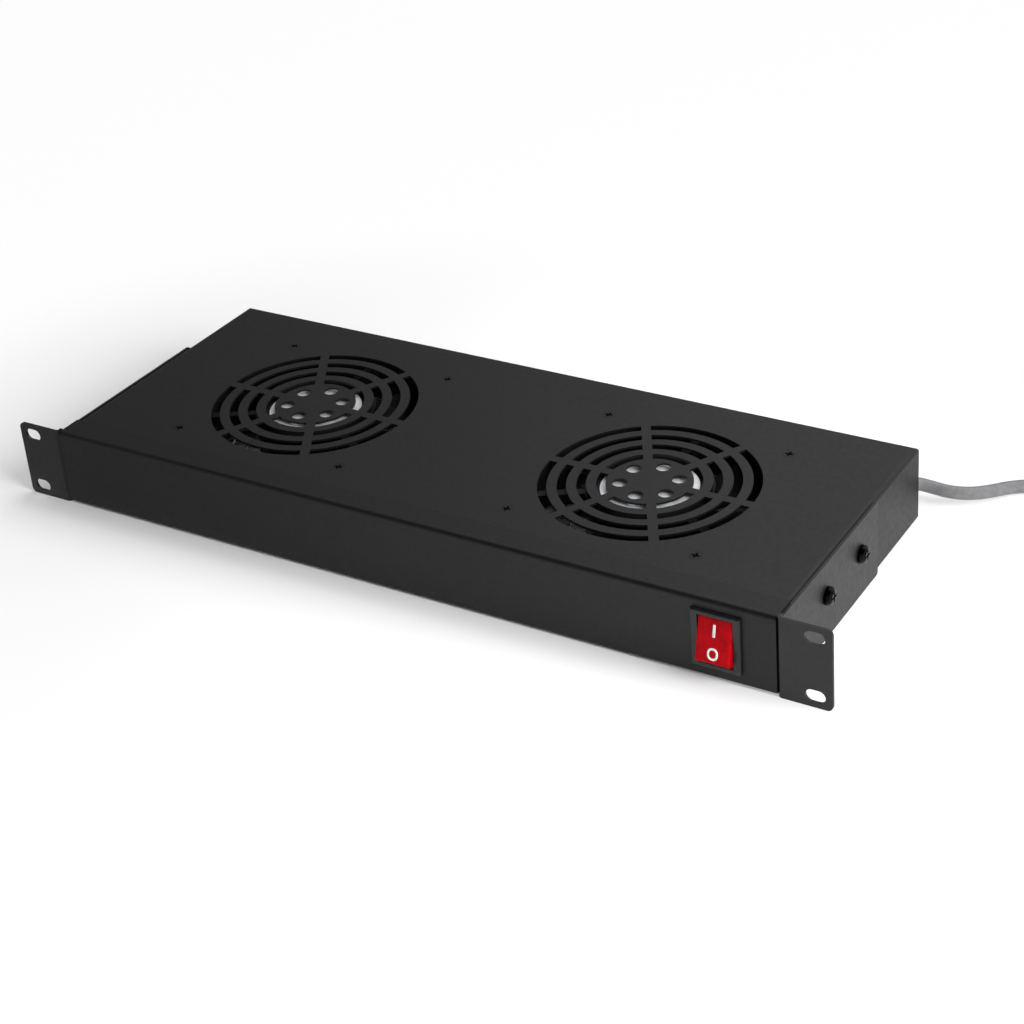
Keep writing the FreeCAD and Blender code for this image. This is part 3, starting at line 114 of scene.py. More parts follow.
def add_node(tree, kind, settings=None, **links):
    """Adds a node. Settings are properties or input values.

    Each link names an input, with _ for a space, or numbers it, as in _0, and gives the output
    that feeds it.
    """
    made = tree.nodes.new(kind)
    for name, value in (settings or {}).items():
        if hasattr(made, name) and name not in made.inputs:
            setattr(made, name, value)
        else:
            made.inputs[name].default_value = value
    for name, output in links.items():
        key = name.replace("_", " ")
        tree.links.new(output, made.inputs[key if key in made.inputs else int(name[1:])])
    return made


def new_material(name, **shader):
    """A material with one Principled shader; the keywords are its sockets, with _ for a space."""
    material = bpy.data.materials.new(name)
    material.use_nodes = True
    tree = material.node_tree
    tree.nodes.clear()
    surface = tree.nodes.new("ShaderNodeBsdfPrincipled")
    for key, value in shader.items():
        surface.inputs[key.replace("_", " ")].default_value = value
    output = tree.nodes.new("ShaderNodeOutputMaterial")
    tree.links.new(surface.outputs["BSDF"], output.inputs["Surface"])
    return material, tree, surface


def grain(tree, size_mm, detail=2.0, stretch=(1.0, 1.0, 1.0)):
    """Noise in the object's own space, in lumps about size_mm across; stretch squeezes an axis."""
    place = add_node(tree, "ShaderNodeTexCoord")
    scaled = add_node(tree, "ShaderNodeMapping", {"Scale": stretch}, Vector=place.outputs["Object"])
    noise = add_node(
        tree,
        "ShaderNodeTexNoise",
        {"Scale": 1.0 / (size_mm * MM), "Detail": detail, "Roughness": 0.55},
        Vector=scaled.outputs["Vector"],
    )
    return noise.outputs["Fac"]


def spread(tree, value, low, high):
    """Maps noise, which gathers around a half, to the range low to high."""
    limits = {"From Min": NOISE_LOW, "From Max": NOISE_HIGH, "To Min": low, "To Max": high}
    return add_node(tree, "ShaderNodeMapRange", limits, Value=value).outputs["Result"]


def blend_colours(tree, value, low, high):
    """Mixes two hex colours by noise."""
    ramp = add_node(tree, "ShaderNodeValToRGB", Fac=value)
    for end, place, code in zip(ramp.color_ramp.elements, COLOUR_ENDS, (low, high)):
        end.position = place
        end.color = linear(code)
    return ramp.outputs["Color"]


def bump(tree, surface, height, depth_mm, strength):
    """Sends a height through a Bump node to the normal; depth_mm is a full step's height."""
    settings = {"Strength": strength, "Distance": depth_mm * MM}
    made = add_node(tree, "ShaderNodeBump", settings, Height=height)
    tree.links.new(made.outputs["Normal"], surface.inputs["Normal"])


def paint(tree, surface, value, low, high):
    """Feeds the shader's colour with two hex colours mixed by noise."""
    tree.links.new(blend_colours(tree, value, low, high), surface.inputs["Base Color"])


def gloss_range(tree, surface, value, low, high):
    """Feeds the shader's roughness with noise spread from low to high."""
    tree.links.new(spread(tree, value, low, high), surface.inputs["Roughness"])


print("mid grey in linear light:", tuple(round(c, 3) for c in linear("#808080")))

# %% [markdown]
# ## Sheet steel: powder coat
#
# Every folded sheet is polyester powder coat on steel: paint baked on as a powder, so it has no brush marks but a
# fine orange peel and a sprinkle of tiny lumps that catch the light. It is nearly black, its gloss is low, and the
# lumps are about 0.4 mm across, which is drawn at 0.8 mm so that it shows at this distance. The one coat comes in
# three copies: the front panel's is painted a shade darker and less glossy, and the ears' a shade lighter and
# glossier, as painted shade and painted light for how the lamps fall on them.

# %% Powder coat


def powder_coat(name, dark, light, gloss):
    """Gloss is the shader's specular level, where 0.5 is plain paint."""
    material, tree, surface = new_material(name, IOR=1.5, Specular_IOR_Level=gloss)
    paint(tree, surface, grain(tree, size_mm=1.1, detail=3.0), dark, light)
    gloss_range(tree, surface, grain(tree, size_mm=3.0), low=0.45, high=0.52)
    bump(tree, surface, grain(tree, size_mm=0.8), depth_mm=0.06, strength=0.5)
    return material


# The front and ear copies differ from the tray's only by painted shade and painted light: the front darker, the ears
# lighter and glossier.
coat_tray = powder_coat("powder_coated_steel_tray", "#0e0e0f", "#141415", gloss=0.36)
coat_front_painted_darker = powder_coat("powder_coated_steel_front_painted_shade", "#0d0d0e", "#131314", gloss=0.33)
coat_ears_painted_lighter = powder_coat("powder_coated_steel_ears_painted_light", "#101011", "#161617", gloss=0.46)
print("coats:", coat_tray.name, coat_front_painted_darker.name, coat_ears_painted_lighter.name)

# %% [markdown]
# ## Screws, nuts, wire and turned steel
#
# The screws are steel with black oxide, a thin dark skin that still shines like metal. The nuts and the guard wire
# are plated, which is bright with a faint cloudiness. Shafts and bearings are ground, so they are the smoothest.

# %% Metals


def metal(name, dark, light, roughness, cloud_mm=3.0, stretch=(1.0, 1.0, 1.0)):
    """A metal with a cloudy colour between two hex values and a roughness between two numbers."""
    material, tree, surface = new_material(name, Metallic=1.0)
    paint(tree, surface, grain(tree, cloud_mm, 4.0, stretch), dark, light)
    gloss_range(tree, surface, grain(tree, cloud_mm / 3, 2.0, stretch), *roughness)
    bump(tree, surface, grain(tree, 0.5, 2.0, stretch), depth_mm=0.02, strength=0.4)
    return material


STACKED = (1.0, 1.0, 8.0)
black_oxide = metal("black_oxide_steel", "#121213", "#1e1e20", roughness=(0.26, 0.4))
zinc_plate = metal("zinc_plated_steel", "#b4b8bc", "#cdd0d2", roughness=(0.22, 0.38))
nickel_wire = metal("nickel_plated_wire", "#a9aaa8", "#c4c4c0", roughness=(0.2, 0.34), cloud_mm=5.0)
ground_steel = metal("ground_bearing_steel", "#b9bbbd", "#cfd0d1", roughness=(0.12, 0.2))
stamped_brass = metal("stamped_brass", "#b08d45", "#c9a85c", roughness=(0.22, 0.36))
varnished_core = metal("varnished_laminations", "#4c4641", "#655c52", (0.4, 0.55), 2.0, STACKED)
METALS = (black_oxide, zinc_plate, nickel_wire, ground_steel, stamped_brass, varnished_core)
print("metals:", [finish.name for finish in METALS])

# %% [markdown]
# ## The fans: enamelled frame, moulded impeller, foil disc
#
# The frames are die cast and enamelled, so they have a soft gloss and a faint ripple. The impellers are glass-filled
# plastic, matt and a little mottled. The foil disc on each hub is rolled aluminium under a clear lacquer. Its fine
# lines run one way and stretch the highlights, and the lacquer takes part of the metal's shine.

# %% Materials of the fans


def moulded(name, dark, light, roughness, lump_mm=1.5, depth_mm=0.03, **more):
    """Moulded plastic or enamel: a mottled colour, a given roughness and fine lumps in the skin."""
    material, tree, surface = new_material(name, Roughness=roughness, **more)
    paint(tree, surface, grain(tree, lump_mm * 3, detail=3.0), dark, light)
    bump(tree, surface, grain(tree, lump_mm), depth_mm, strength=0.5)
    return material


ROLLED = (1.0, 0.06, 1.0)


def rolled_foil():
    """Lacquered foil: partly metal, with a roughness and a height that follow the rolled lines."""
    material, tree, surface = new_material("rolled_aluminium_foil", Metallic=0.35)
    lines = grain(tree, 0.6, 3.0, ROLLED)
    paint(tree, surface, grain(tree, size_mm=14.0), "#dfe2e6", "#f4f5f7")
    gloss_range(tree, surface, lines, low=0.3, high=0.48)
    bump(tree, surface, lines, depth_mm=0.02, strength=0.35)
    return material


LOW_GLOSS = {"Specular_IOR_Level": 0.25}
ENAMEL = {"lump_mm": 2.0, "depth_mm": 0.05, "Specular_IOR_Level": 0.2}
frame_enamel = moulded("enamelled_die_casting", "#0b0b0c", "#111112", 0.5, **ENAMEL)
impeller_plastic = moulded("glass_filled_plastic", "#0d0d0e", "#141415", 0.5, **LOW_GLOSS)
screw_lacquer = moulded("black_lacquered_steel", "#141415", "#1b1b1c", 0.44, **LOW_GLOSS)
foil = rolled_foil()
print("fan materials:", frame_enamel.name, impeller_plastic.name, foil.name)

# %% [markdown]
# ## The switch, the wiring and the cord
#
# The bezel is moulded nylon with a satin gloss. The paddle is clear red polycarbonate over a neon lamp, so light goes
# into it and comes back deeper red: that is drawn as scattering under the skin and a faint glow of its own. Cord and
# cores are plasticised PVC, satin, with fine lumps in the skin.

# %% Materials of the switch and the cords
POLISHED = {"lump_mm": 1.0, "depth_mm": 0.02, "Specular_IOR_Level": 0.4}
SHEATH = {"lump_mm": 0.9, "depth_mm": 0.02, "Subsurface_Weight": 0.05}
bezel_nylon = moulded("moulded_nylon_bezel", "#141415", "#1a1a1b", 0.34, **POLISHED)
gland_nylon = moulded("moulded_nylon_gland", "#101112", "#17181a", 0.42, 1.2, 0.03)
plug_pvc = moulded("moulded_pvc_plug", "#161718", "#1d1e20", 0.5, 1.2, 0.04)
sleeve_pvc = moulded("insulating_sleeve", "#7d1f18", "#8f2a20", 0.45)
core_pvc = moulded("core_insulation", "#274a86", "#30569a", 0.4)
lead_pvc = moulded("black_lead_sheath", "#131415", "#1a1b1c", 0.45)
cord_pvc = moulded("grey_pvc_sheath", "#626264", "#6e6e70", 0.42, **SHEATH)
cord_shader = cord_pvc.node_tree.nodes["Principled BSDF"]
cord_shader.inputs["Subsurface Radius"].default_value = (2 * MM, 2 * MM, 2 * MM)


def polycarbonate():
    """Clear red plastic: red light goes 3 mm deep, other light 0.4 mm, and it glows a little."""
    material, tree, surface = new_material(
        "red_polycarbonate_paddle",
        Roughness=0.2,
        IOR=1.58,
        Specular_IOR_Level=0.05,
        Subsurface_Weight=0.3,
        Emission_Color=linear("#f00014"),
        Emission_Strength=0.04,
    )
    surface.inputs["Subsurface Radius"].default_value = (3.0 * MM, 0.4 * MM, 0.4 * MM)
    paint(tree, surface, grain(tree, size_mm=5.0), "#900008", "#b0000d")
    bump(tree, surface, grain(tree, size_mm=2.0), depth_mm=0.02, strength=0.3)
    return material


def neon_glass():
    """A small glass bulb with an orange glow in it."""
    material, tree, surface = new_material(
        "neon_lamp",
        Roughness=0.08,
        IOR=1.5,
        Transmission_Weight=0.6,
        Emission_Color=linear("#ff6a3a"),
        Emission_Strength=1.5,
    )
    paint(tree, surface, grain(tree, size_mm=1.5, detail=1.0), "#ff7a45", "#ffa070")
    return material


paddle_red = polycarbonate()
lamp_glow = neon_glass()
print("switch materials:", bezel_nylon.name, paddle_red.name, lamp_glow.name)

# %% [markdown]
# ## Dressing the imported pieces
#
# The rigid solids already have the right shape, so each only gets its finish, by its name. The two ears and the two
# fans repeat their pieces on the left and on the right.

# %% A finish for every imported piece
FINISHES = {
    "chassis": coat_tray,
    "front_panel": coat_front_painted_darker,
    "ear_screws": black_oxide,
    "ear_nuts": zinc_plate,
    "fan_screws": screw_lacquer,
    "fan_nuts": zinc_plate,
    "switch_housing": bezel_nylon,
    "switch_rocker": paddle_red,
    "switch_plungers": stamped_brass,
    "switch_contacts": stamped_brass,
    "switch_terminals": stamped_brass,
    "switch_lamp": lamp_glow,
    "tab_sleeves": sleeve_pvc,
    "earth_tag": zinc_plate,
    "earth_lead": core_pvc,
    "supply_lead": cord_pvc,
    "supply_cores": core_pvc,
    "switch_cores": core_pvc,
    "cord_gland": gland_nylon,
    "cord_run": cord_pvc,
    "cord_coil": cord_pvc,
    "cord_tail": cord_pvc,
    "plug_body": plug_pvc,
    "plug_pins": stamped_brass,
}
PAIRED_FINISHES = {
    "ear_bracket": coat_ears_painted_lighter,
    "fan_lead": lead_pvc,
    "fan_frame": frame_enamel,
    "fan_label": foil,
    "fan_stator": varnished_core,
    "fan_bearings": ground_steel,
    "fan_shaft": ground_steel,
    "rotor_core": varnished_core,
    "fan_impeller": impeller_plastic,
    "fan_guard": nickel_wire,
}
for side in ("left", "right"):
    FINISHES.update({piece + "_" + side: finish for piece, finish in PAIRED_FINISHES.items()})


def dress(node, material):
    """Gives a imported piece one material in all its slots."""
    for slot in bpy.data.objects[node].material_slots:
        slot.link = "OBJECT"
        slot.material = material


for node, material in FINISHES.items():
    dress(node, material)
print("dressed", len(FINISHES), "of", len(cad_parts), "pieces")

# %% [markdown]
# ## The cord
#
# A cord is one smooth line from where it leaves the gland to its plug. It runs straight out, turns along the floor
# behind the tray, goes on to a neat coil of the length that isn't needed, and ends in a plug. The line is a NURBS
# spline of order three, guided by the same points as the construction's route, and the coil's turns are more points
# of that same spline.

# %% The cord's route
CORD_THICK = 7.0 * MM
FLOOR = -22.0 * MM
LYING = FLOOR + CORD_THICK / 2
PLUG_MIDDLE = FLOOR + 10.0 * MM
CORD_ROUTE = [
    (0.2050, 0.1740, -0.0085),
    (0.2054, 0.1792, -0.0088),
    (0.2084, 0.1832, -0.0098),
    (0.2150, 0.1849, -0.0114),
    (0.2244, 0.1858, -0.0126),
    (0.2336, 0.1910, -0.0142),
    (0.2410, 0.2002, -0.0160),
    (0.2480, 0.2110, -0.0176),
    (0.2585, 0.2190, LYING),
    (0.2750, 0.2240, LYING),
    (0.2930, 0.2255, LYING),
]
TAIL_ROUTE = [
    (0.3030, 0.3252, PLUG_MIDDLE),
    (0.2900, 0.3275, PLUG_MIDDLE),
]

COIL_CENTRE = (0.3160, 0.2750)
COIL_OUTSIDE = 51.0 * MM
COIL_START = math.radians(-95)
FIRST_TURN = 0.02
COIL_TURNS = 6.51
TURNS_BELOW = 3
POINTS_PER_TURN = 20


def rolled_turn(share):
    """The turn that climbs to the upper layer: it rolls over its neighbour on a quarter circle."""
    neighbour = COIL_OUTSIDE - CORD_THICK * (TURNS_BELOW - 1 + share)
    lean = math.pi / 2 * share
    return neighbour - CORD_THICK * np.cos(lean), CORD_THICK * np.sin(lean)


def coil_points():
    """A spiral in by one diameter a turn, a roll over, and a spiral out on top; the turns touch."""
    turns = np.arange(FIRST_TURN, COIL_TURNS, 1 / POINTS_PER_TURN)
    share = turns % 1.0
    rolled, climbed = rolled_turn(share)
    beside = np.sqrt(np.maximum(CORD_THICK**2 - (CORD_THICK - climbed) ** 2, 0.0))
    radius = COIL_OUTSIDE - CORD_THICK * turns
    height = np.zeros_like(turns)
    rolling = (turns >= TURNS_BELOW) & (turns < TURNS_BELOW + 1)
    radius[rolling] = rolled[rolling]
    height[rolling] = climbed[rolling]
    above = turns >= TURNS_BELOW + 1
    radius[above] = (rolled + beside + CORD_THICK * (np.floor(turns) - TURNS_BELOW - 1))[above]
    height[above] = CORD_THICK
    angle = COIL_START + 2 * math.pi * turns
    across = COIL_CENTRE[0] + radius * np.cos(angle)
    back = COIL_CENTRE[1] + radius * np.sin(angle)
    return np.column_stack([across, back, LYING + height])


def make_cord():
    """The route's points and the coil's as one NURBS spline with a round bevel."""
    route = np.vstack([CORD_ROUTE, coil_points(), TAIL_ROUTE])
    curve = bpy.data.curves.new("mains_cord", "CURVE")
    curve.dimensions = "3D"
    curve.resolution_u = 6
    curve.bevel_depth = CORD_THICK / 2
    curve.bevel_resolution = 6
    curve.use_fill_caps = True
    spline = curve.splines.new("NURBS")
    spline.points.add(len(route) - 1)
    weighted = np.column_stack([route, np.ones(len(route))])
    spline.points.foreach_set("co", weighted.astype(np.float32).ravel())
    spline.order_u = 3
    spline.use_endpoint_u = True
    cord = bpy.data.objects.new("mains_cord", curve)
    scene.collection.objects.link(cord)
    curve.materials.append(cord_pvc)
    return cord, route


mains_cord, cord_line = make_cord()
cord_length = float(np.linalg.norm(np.diff(cord_line, axis=0), axis=1).sum())
print("the cord's points: %d, about %.2f m" % (len(cord_line), cord_length))

# %% [markdown]
# ## Grids and outlines
#
# The small shapes are all grids of points: an outline is moved along, and each row is joined to the next. The rule
# |x/a|^n + |y/b|^n = 1 gives an ellipse at n = 2 and comes nearer to a rectangle as n grows.

# %% Helpers for grids and outlines


def grid_mesh(name, points, material, wrap_u=True, wrap_v=True):
    """Makes a mesh from points (rows, columns, 3); wrap_u joins the last row to the first."""
    rows, columns = points.shape[:2]
    index = np.arange(rows * columns).reshape(rows, columns)
    u = np.arange(rows if wrap_u else rows - 1)
    v = np.arange(columns if wrap_v else columns - 1)
    a = index[np.ix_(u, v)]
    b = index[np.ix_((u + 1) % rows, v)]
    c = index[np.ix_((u + 1) % rows, (v + 1) % columns)]
    d = index[np.ix_(u, (v + 1) % columns)]
    faces = np.stack([a, b, c, d], axis=-1).reshape(-1, 4)
    mesh = bpy.data.meshes.new(name)
    mesh.from_pydata(points.reshape(-1, 3), [], faces.tolist())
    mesh.polygons.foreach_set("use_smooth", np.ones(len(mesh.polygons), bool))
    mesh.materials.append(material)
    made = bpy.data.objects.new(name, mesh)
    scene.collection.objects.link(made)
    return made


def rounded(half_across, half_up, power, count=64):
    """Points of the outline |x/a|^n + |y/b|^n = 1, from +x and clockwise; the power is n."""
    turn = -np.linspace(0, 2 * math.pi, count, endpoint=False)
    size = (np.abs(np.cos(turn)) ** power + np.abs(np.sin(turn)) ** power) ** (-1 / power)
    return np.column_stack([half_across * size * np.cos(turn), half_up * size * np.sin(turn)])


print("a square with round corners:", rounded(1.0, 1.0, power=8, count=8).round(2).tolist())

# %% [markdown]
# ## The tie round the coil
#
# Coiled cords come with a twist tie or a strap round the bundle. A flat strap is a closed loop round the bundle's
# cross-section: here a rounded rectangle with n = 6, carried over a short width.

# %% The tie
TIE_ANGLE = math.radians(200)
TIE_WIDTH = 6.0 * MM
TIE_THICK = 0.9 * MM
TIE_POWER = 6


def bundle_reach():
    """How near and how far from the coil's middle the strands pass, where the tie goes round."""
    line = coil_points()[:, :2] - COIL_CENTRE
    reach = np.hypot(line[:, 0], line[:, 1])
    bearing = np.arctan2(line[:, 1], line[:, 0])
    near = np.cos(bearing - TIE_ANGLE) > math.cos(math.pi / POINTS_PER_TURN)
    return reach[near].min() - CORD_THICK / 2, reach[near].max() + CORD_THICK / 2


def make_tie():
    """A closed strap: a rounded rectangle round the bundle, carried over the strap's width."""
    inside, outside = bundle_reach()
    half_across = (outside - inside) / 2
    half_up = CORD_THICK
    profile = [(1, 0), (1, 1), (-1, 1), (-1, 0)]
    middle = (outside + inside) / 2
    outward = np.array([math.cos(TIE_ANGLE), math.sin(TIE_ANGLE), 0.0])
    along = np.array([-math.sin(TIE_ANGLE), math.cos(TIE_ANGLE), 0.0])
    centre = np.array([COIL_CENTRE[0], COIL_CENTRE[1], FLOOR + half_up]) + outward * middle
    loops = []
    for side, lift in profile:
        thick = lift * TIE_THICK
        out, up = rounded(half_across + thick, half_up + thick, TIE_POWER, count=48).T
        up = np.maximum(up, -half_up)
        ring = centre + out[:, None] * outward + up[:, None] * np.array([0, 0, 1.0])
        loops.append(ring + side * TIE_WIDTH / 2 * along)
    return grid_mesh("cord_tie", np.array(loops), gland_nylon)


cord_tie = make_tie()
print("the tie is %.0f mm wide" % (TIE_WIDTH / MM))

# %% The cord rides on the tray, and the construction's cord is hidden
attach(mains_cord, "tray")
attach(cord_tie, "tray")
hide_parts("cord_run", "cord_coil", "cord_tail")
print("the cord rides on the tray")

# %% [markdown]
# ## The marks on the switch
#
# The paddle has a white bar at its ON end and a white ring at its OFF end. Each is a thin shape, raised 0.12 mm: the
# bar is a rounded rectangle, the ring is a band between two ovals, and both are laid on the paddle's face by the
# paddle's own tilt.

# %% The bar and the ring
ROCKER_TILT = math.radians(-12.5)
PIVOT = np.array([0.1835, 0.0020, 0.00075])
FACE_AHEAD = 7.35 * MM
STAMP_RAISED = 0.12 * MM
STAMP_SUNK = -0.3 * MM
EDGE_SHARE = 0.015


def on_paddle(across, up, ahead):
    """A point of the level paddle, turned about the pivot: y cos t - z sin t, y sin t + z cos t."""
    level = np.stack([across, -(FACE_AHEAD + ahead), up], axis=-1)
    cosine, sine = math.cos(ROCKER_TILT), math.sin(ROCKER_TILT)
    y = level[..., 1] * cosine - level[..., 2] * sine
    z = level[..., 1] * sine + level[..., 2] * cosine
    return PIVOT + np.stack([level[..., 0], y, z], axis=-1)


def band(name, inner, outer):
    """A closed flat band between two outlines, raised off the face, its edge a little rounded."""
    edge = STAMP_RAISED * 0.6
    outer_top = outer * (1 - EDGE_SHARE) + inner * EDGE_SHARE
    inner_top = inner * (1 - EDGE_SHARE) + outer * EDGE_SHARE
    rows = [(outer, STAMP_SUNK), (outer, edge), (outer_top, STAMP_RAISED)]
    rows += [(inner_top, STAMP_RAISED), (inner, edge), (inner, STAMP_SUNK)]
    points = [on_paddle(flat[:, 0], flat[:, 1], np.full(len(flat), lift)) for flat, lift in rows]
    return grid_mesh(name, np.array(points), stamp_white)


BAR_MIDDLE = [0, 5.1 * MM]
BAR_HALF = (0.7 * MM, 3.2 * MM)
BAR_POWER = 8
BAR_SLIT = 0.02
RING_MIDDLE = [0, -6.5 * MM]
RING_INSIDE = (1.75 * MM, 2.0 * MM)
RING_OUTSIDE = (2.8 * MM, 3.1 * MM)
RING_POWER = 2.3
stamp_white = moulded("hot_stamped_white", "#dcdcdc", "#e8e8e8", 0.5)
bar_outline = rounded(*BAR_HALF, BAR_POWER)
on_bar = band("on_bar", bar_outline * BAR_SLIT + BAR_MIDDLE, bar_outline + BAR_MIDDLE)
ring_outlines = [rounded(*half, RING_POWER) + RING_MIDDLE for half in (RING_INSIDE, RING_OUTSIDE)]
off_ring = band("off_ring", *ring_outlines)
for mark in (on_bar, off_ring):
    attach(mark, "rocker")
print("marks:", on_bar.name, off_ring.name)

# %% [markdown]
# ## The welded guards under the fans
#
# A fan guard is drawn wire: five rings spot-welded on four legs, each leg bent up to a flattened eye under a screw.
# Round wire is a circle carried along a path. A ring's path is a circle, so a ring is a torus. A leg's path runs
# straight out from the middle and rises along a smooth S. Boxes of square wire would do from afar, but round wire
# takes the thin bright highlight that plated guards show.

# %% Round wire
GUARD_WIRE = 1.8 * MM
GUARD_RISE = 4.4 * MM
RING_COUNT = 5
GUARD_FIRST = 13.0 * MM
GUARD_STEP = 10.0 * MM
GUARD_RINGS = GUARD_FIRST + GUARD_STEP * np.arange(RING_COUNT)
LEG_OVERRUN = 1.0 * MM
WELD_DEPTH = 0.3 * MM
EYE_LAP = 0.6 * MM
FAN_HOLE_PITCH = 105.0 * MM
EYE_REACH = FAN_HOLE_PITCH / math.sqrt(2)
EYE_INSIDE, EYE_OUTSIDE = 2.3 * MM, 3.4 * MM
TAPERED_END = 0.02


def wire_section(wide, high, count=12):
    """An ellipse, as (outward, upward) pairs: (wide / 2 cos t, high / 2 sin t)."""
    turn = np.linspace(0, 2 * math.pi, count, endpoint=False)
    return np.column_stack([wide / 2 * np.cos(turn), high / 2 * np.sin(turn)])


def wire_ring(name, centre, radius, section, steps=72):
    """A torus: each point (a, b) of the section goes round a circle of radius R + a at height b."""
    turn = np.linspace(0, 2 * math.pi, steps, endpoint=False)[:, None]
    reach = radius + section[None, :, 0]
    lift = np.broadcast_to(section[:, 1], (steps, len(section)))
    points = np.stack([reach * np.cos(turn), reach * np.sin(turn), lift], axis=-1)
    return grid_mesh(name, points + np.array(centre), nickel_wire)


def wire_leg(name, centre, angle, section, steps=40):
    """A bent rod: its height is the rise times smoothstep((r - shoulder) / (foot - shoulder))."""
    shoulder = GUARD_RINGS[-1] + GUARD_WIRE
    foot = shoulder + 2 * GUARD_RISE
    along = np.linspace(GUARD_FIRST - LEG_OVERRUN, EYE_REACH - EYE_OUTSIDE + EYE_LAP, steps)
    share = np.clip((along - shoulder) / (foot - shoulder), 0, 1)
    up = GUARD_RISE * share**2 * (3 - 2 * share)
    slope = np.arctan(np.gradient(up, along))
    size = np.ones(steps)
    size[[0, -1]] = TAPERED_END
    aside, above = (size[:, None] * section[None, :, part] for part in (0, 1))
    reach = along[:, None] - above * np.sin(slope)[:, None]
    lift = up[:, None] + above * np.cos(slope)[:, None]
    cosine, sine = math.cos(angle), math.sin(angle)
    points = np.stack([reach * cosine + aside * sine, reach * sine - aside * cosine, lift], axis=-1)
    return grid_mesh(name, points + np.array(centre), nickel_wire, wrap_u=False)


def make_guard(side):
    """Five rings, four legs and four eyes, joined to one object under one fan."""
    low, high = (np.array(corner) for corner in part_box("fan_guard_" + side))
    across, back = ((low + high) / 2)[:2]
    leg_middle = (across, back, low[2] + GUARD_WIRE / 2)
    ring_middle = (across, back, high[2] - GUARD_RISE - WELD_DEPTH + GUARD_WIRE / 2)
    round_wire = wire_section(GUARD_WIRE, GUARD_WIRE)
    flat_wire = wire_section(EYE_OUTSIDE - EYE_INSIDE, GUARD_WIRE)
    wires = [wire_ring("guard_ring", ring_middle, radius, round_wire) for radius in GUARD_RINGS]
    for angle in np.radians([45, 135, 225, 315]):
        eye_across = across + EYE_REACH * math.cos(angle)
        eye_back = back + EYE_REACH * math.sin(angle)
        eye = (eye_across, eye_back, high[2] - GUARD_WIRE / 2)
        wires.append(wire_leg("guard_leg", leg_middle, angle, round_wire))
        wires.append(wire_ring("guard_eye", eye, (EYE_INSIDE + EYE_OUTSIDE) / 2, flat_wire, 32))
    with bpy.context.temp_override(active_object=wires[0], selected_editable_objects=wires):
        bpy.ops.object.join()
    guard = wires[0]
    guard.name = "wire_guard_" + side
    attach(guard, "tray")
    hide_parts("fan_guard_" + side)
    return guard


wire_guards = [make_guard("left"), make_guard("right")]
for guard in wire_guards:
    size_mm = [round(size / MM, 1) for size in guard.dimensions]
    print(guard.name, len(guard.data.polygons), "faces,", size_mm, "mm")

# %% [markdown]
# ## Floor, background and light
#
# The tray stands on a plain white floor in a white room. What the camera sees, and what gloss, metal and glass
# mirror, is lightened through Light Path, so the background is white while the sky's own light stays low and the
# dark coat keeps its colour. Near the tray the floor isn't lightened, so that the tray's shadow stays on it.

# %% A white background for the rays that show it


def showing_rays(tree, share):
    """The share of white for camera, glossy and transmission rays; other rays get none."""
    path = add_node(tree, "ShaderNodeLightPath")
    glossy, through, seen = (
        path.outputs[ray] for ray in ("Is Glossy Ray", "Is Transmission Ray", "Is Camera Ray")
    )
    larger = {"operation": "MAXIMUM"}
    mirrored = add_node(tree, "ShaderNodeMath", larger, _0=glossy, _1=through)
    shown = add_node(tree, "ShaderNodeMath", larger, _0=mirrored.outputs["Value"], _1=seen)
    scaled = add_node(tree, "ShaderNodeMath", {"operation": "MULTIPLY"}, _0=shown.outputs["Value"])
    scaled.inputs[1].default_value = share
    return scaled.outputs["Value"]


def mix_to_white(tree, share, plain, white, target):
    """Mixes two shaders by that share and sends the result on."""
    mix = add_node(tree, "ShaderNodeMixShader", _0=share, _1=plain, _2=white)
    tree.links.new(mix.outputs["Shader"], target)


# %% Floor


def flat_square(name, middle, towards, size, material):
    """A rectangle that faces a direction: its corners lie half the size out, turned and moved."""
    turn = Vector(towards).normalized().to_track_quat("Z", "Y").to_matrix()
    half_wide, half_high = size[0] / 2, size[1] / 2
    signs = [(-1, -1), (1, -1), (1, 1), (-1, 1)]
    corners = [turn @ Vector((half_wide * x, half_high * y, 0)) + Vector(middle) for x, y in signs]
    mesh = bpy.data.meshes.new(name)
    mesh.from_pydata(corners, [], [(0, 1, 2, 3)])
    mesh.materials.append(material)
    piece = bpy.data.objects.new(name, mesh)
    scene.collection.objects.link(piece)
    return piece


FLOOR_SIZE = 12.0
UPWARDS = (0.0, 0.0, 1.0)
FLOOR_WHITE = 0.95
NEAR_HALF_ACROSS = 0.21
NEAR_HALF_BACK = 0.17
NEAR_MIDDLE = (-0.04, 0.11)
FAR_REACH = 1.9


def away_from_tray(tree):
    """From 0 at the tray to 1 far off, by the length of ((x - m) / a, (y - n) / b).

    That length is 1 on an ellipse round the tray, with its middle at (m, n).
    """
    place = add_node(tree, "ShaderNodeTexCoord")
    scale = (1 / NEAR_HALF_ACROSS, 1 / NEAR_HALF_BACK, 0.0)
    centre = (-NEAR_MIDDLE[0] / NEAR_HALF_ACROSS, -NEAR_MIDDLE[1] / NEAR_HALF_BACK, 0.0)
    settings = {"Scale": scale, "Location": centre}
    scaled = add_node(tree, "ShaderNodeMapping", settings, Vector=place.outputs["Object"])
    reach = add_node(
        tree, "ShaderNodeVectorMath", {"operation": "LENGTH"}, _0=scaled.outputs["Vector"]
    ).outputs["Value"]
    limits = {"From Min": 1.0, "From Max": FAR_REACH, "To Min": 0.0, "To Max": 1.0}
    limits["interpolation_type"] = "SMOOTHSTEP"
    return add_node(tree, "ShaderNodeMapRange", limits, Value=reach).outputs["Result"]


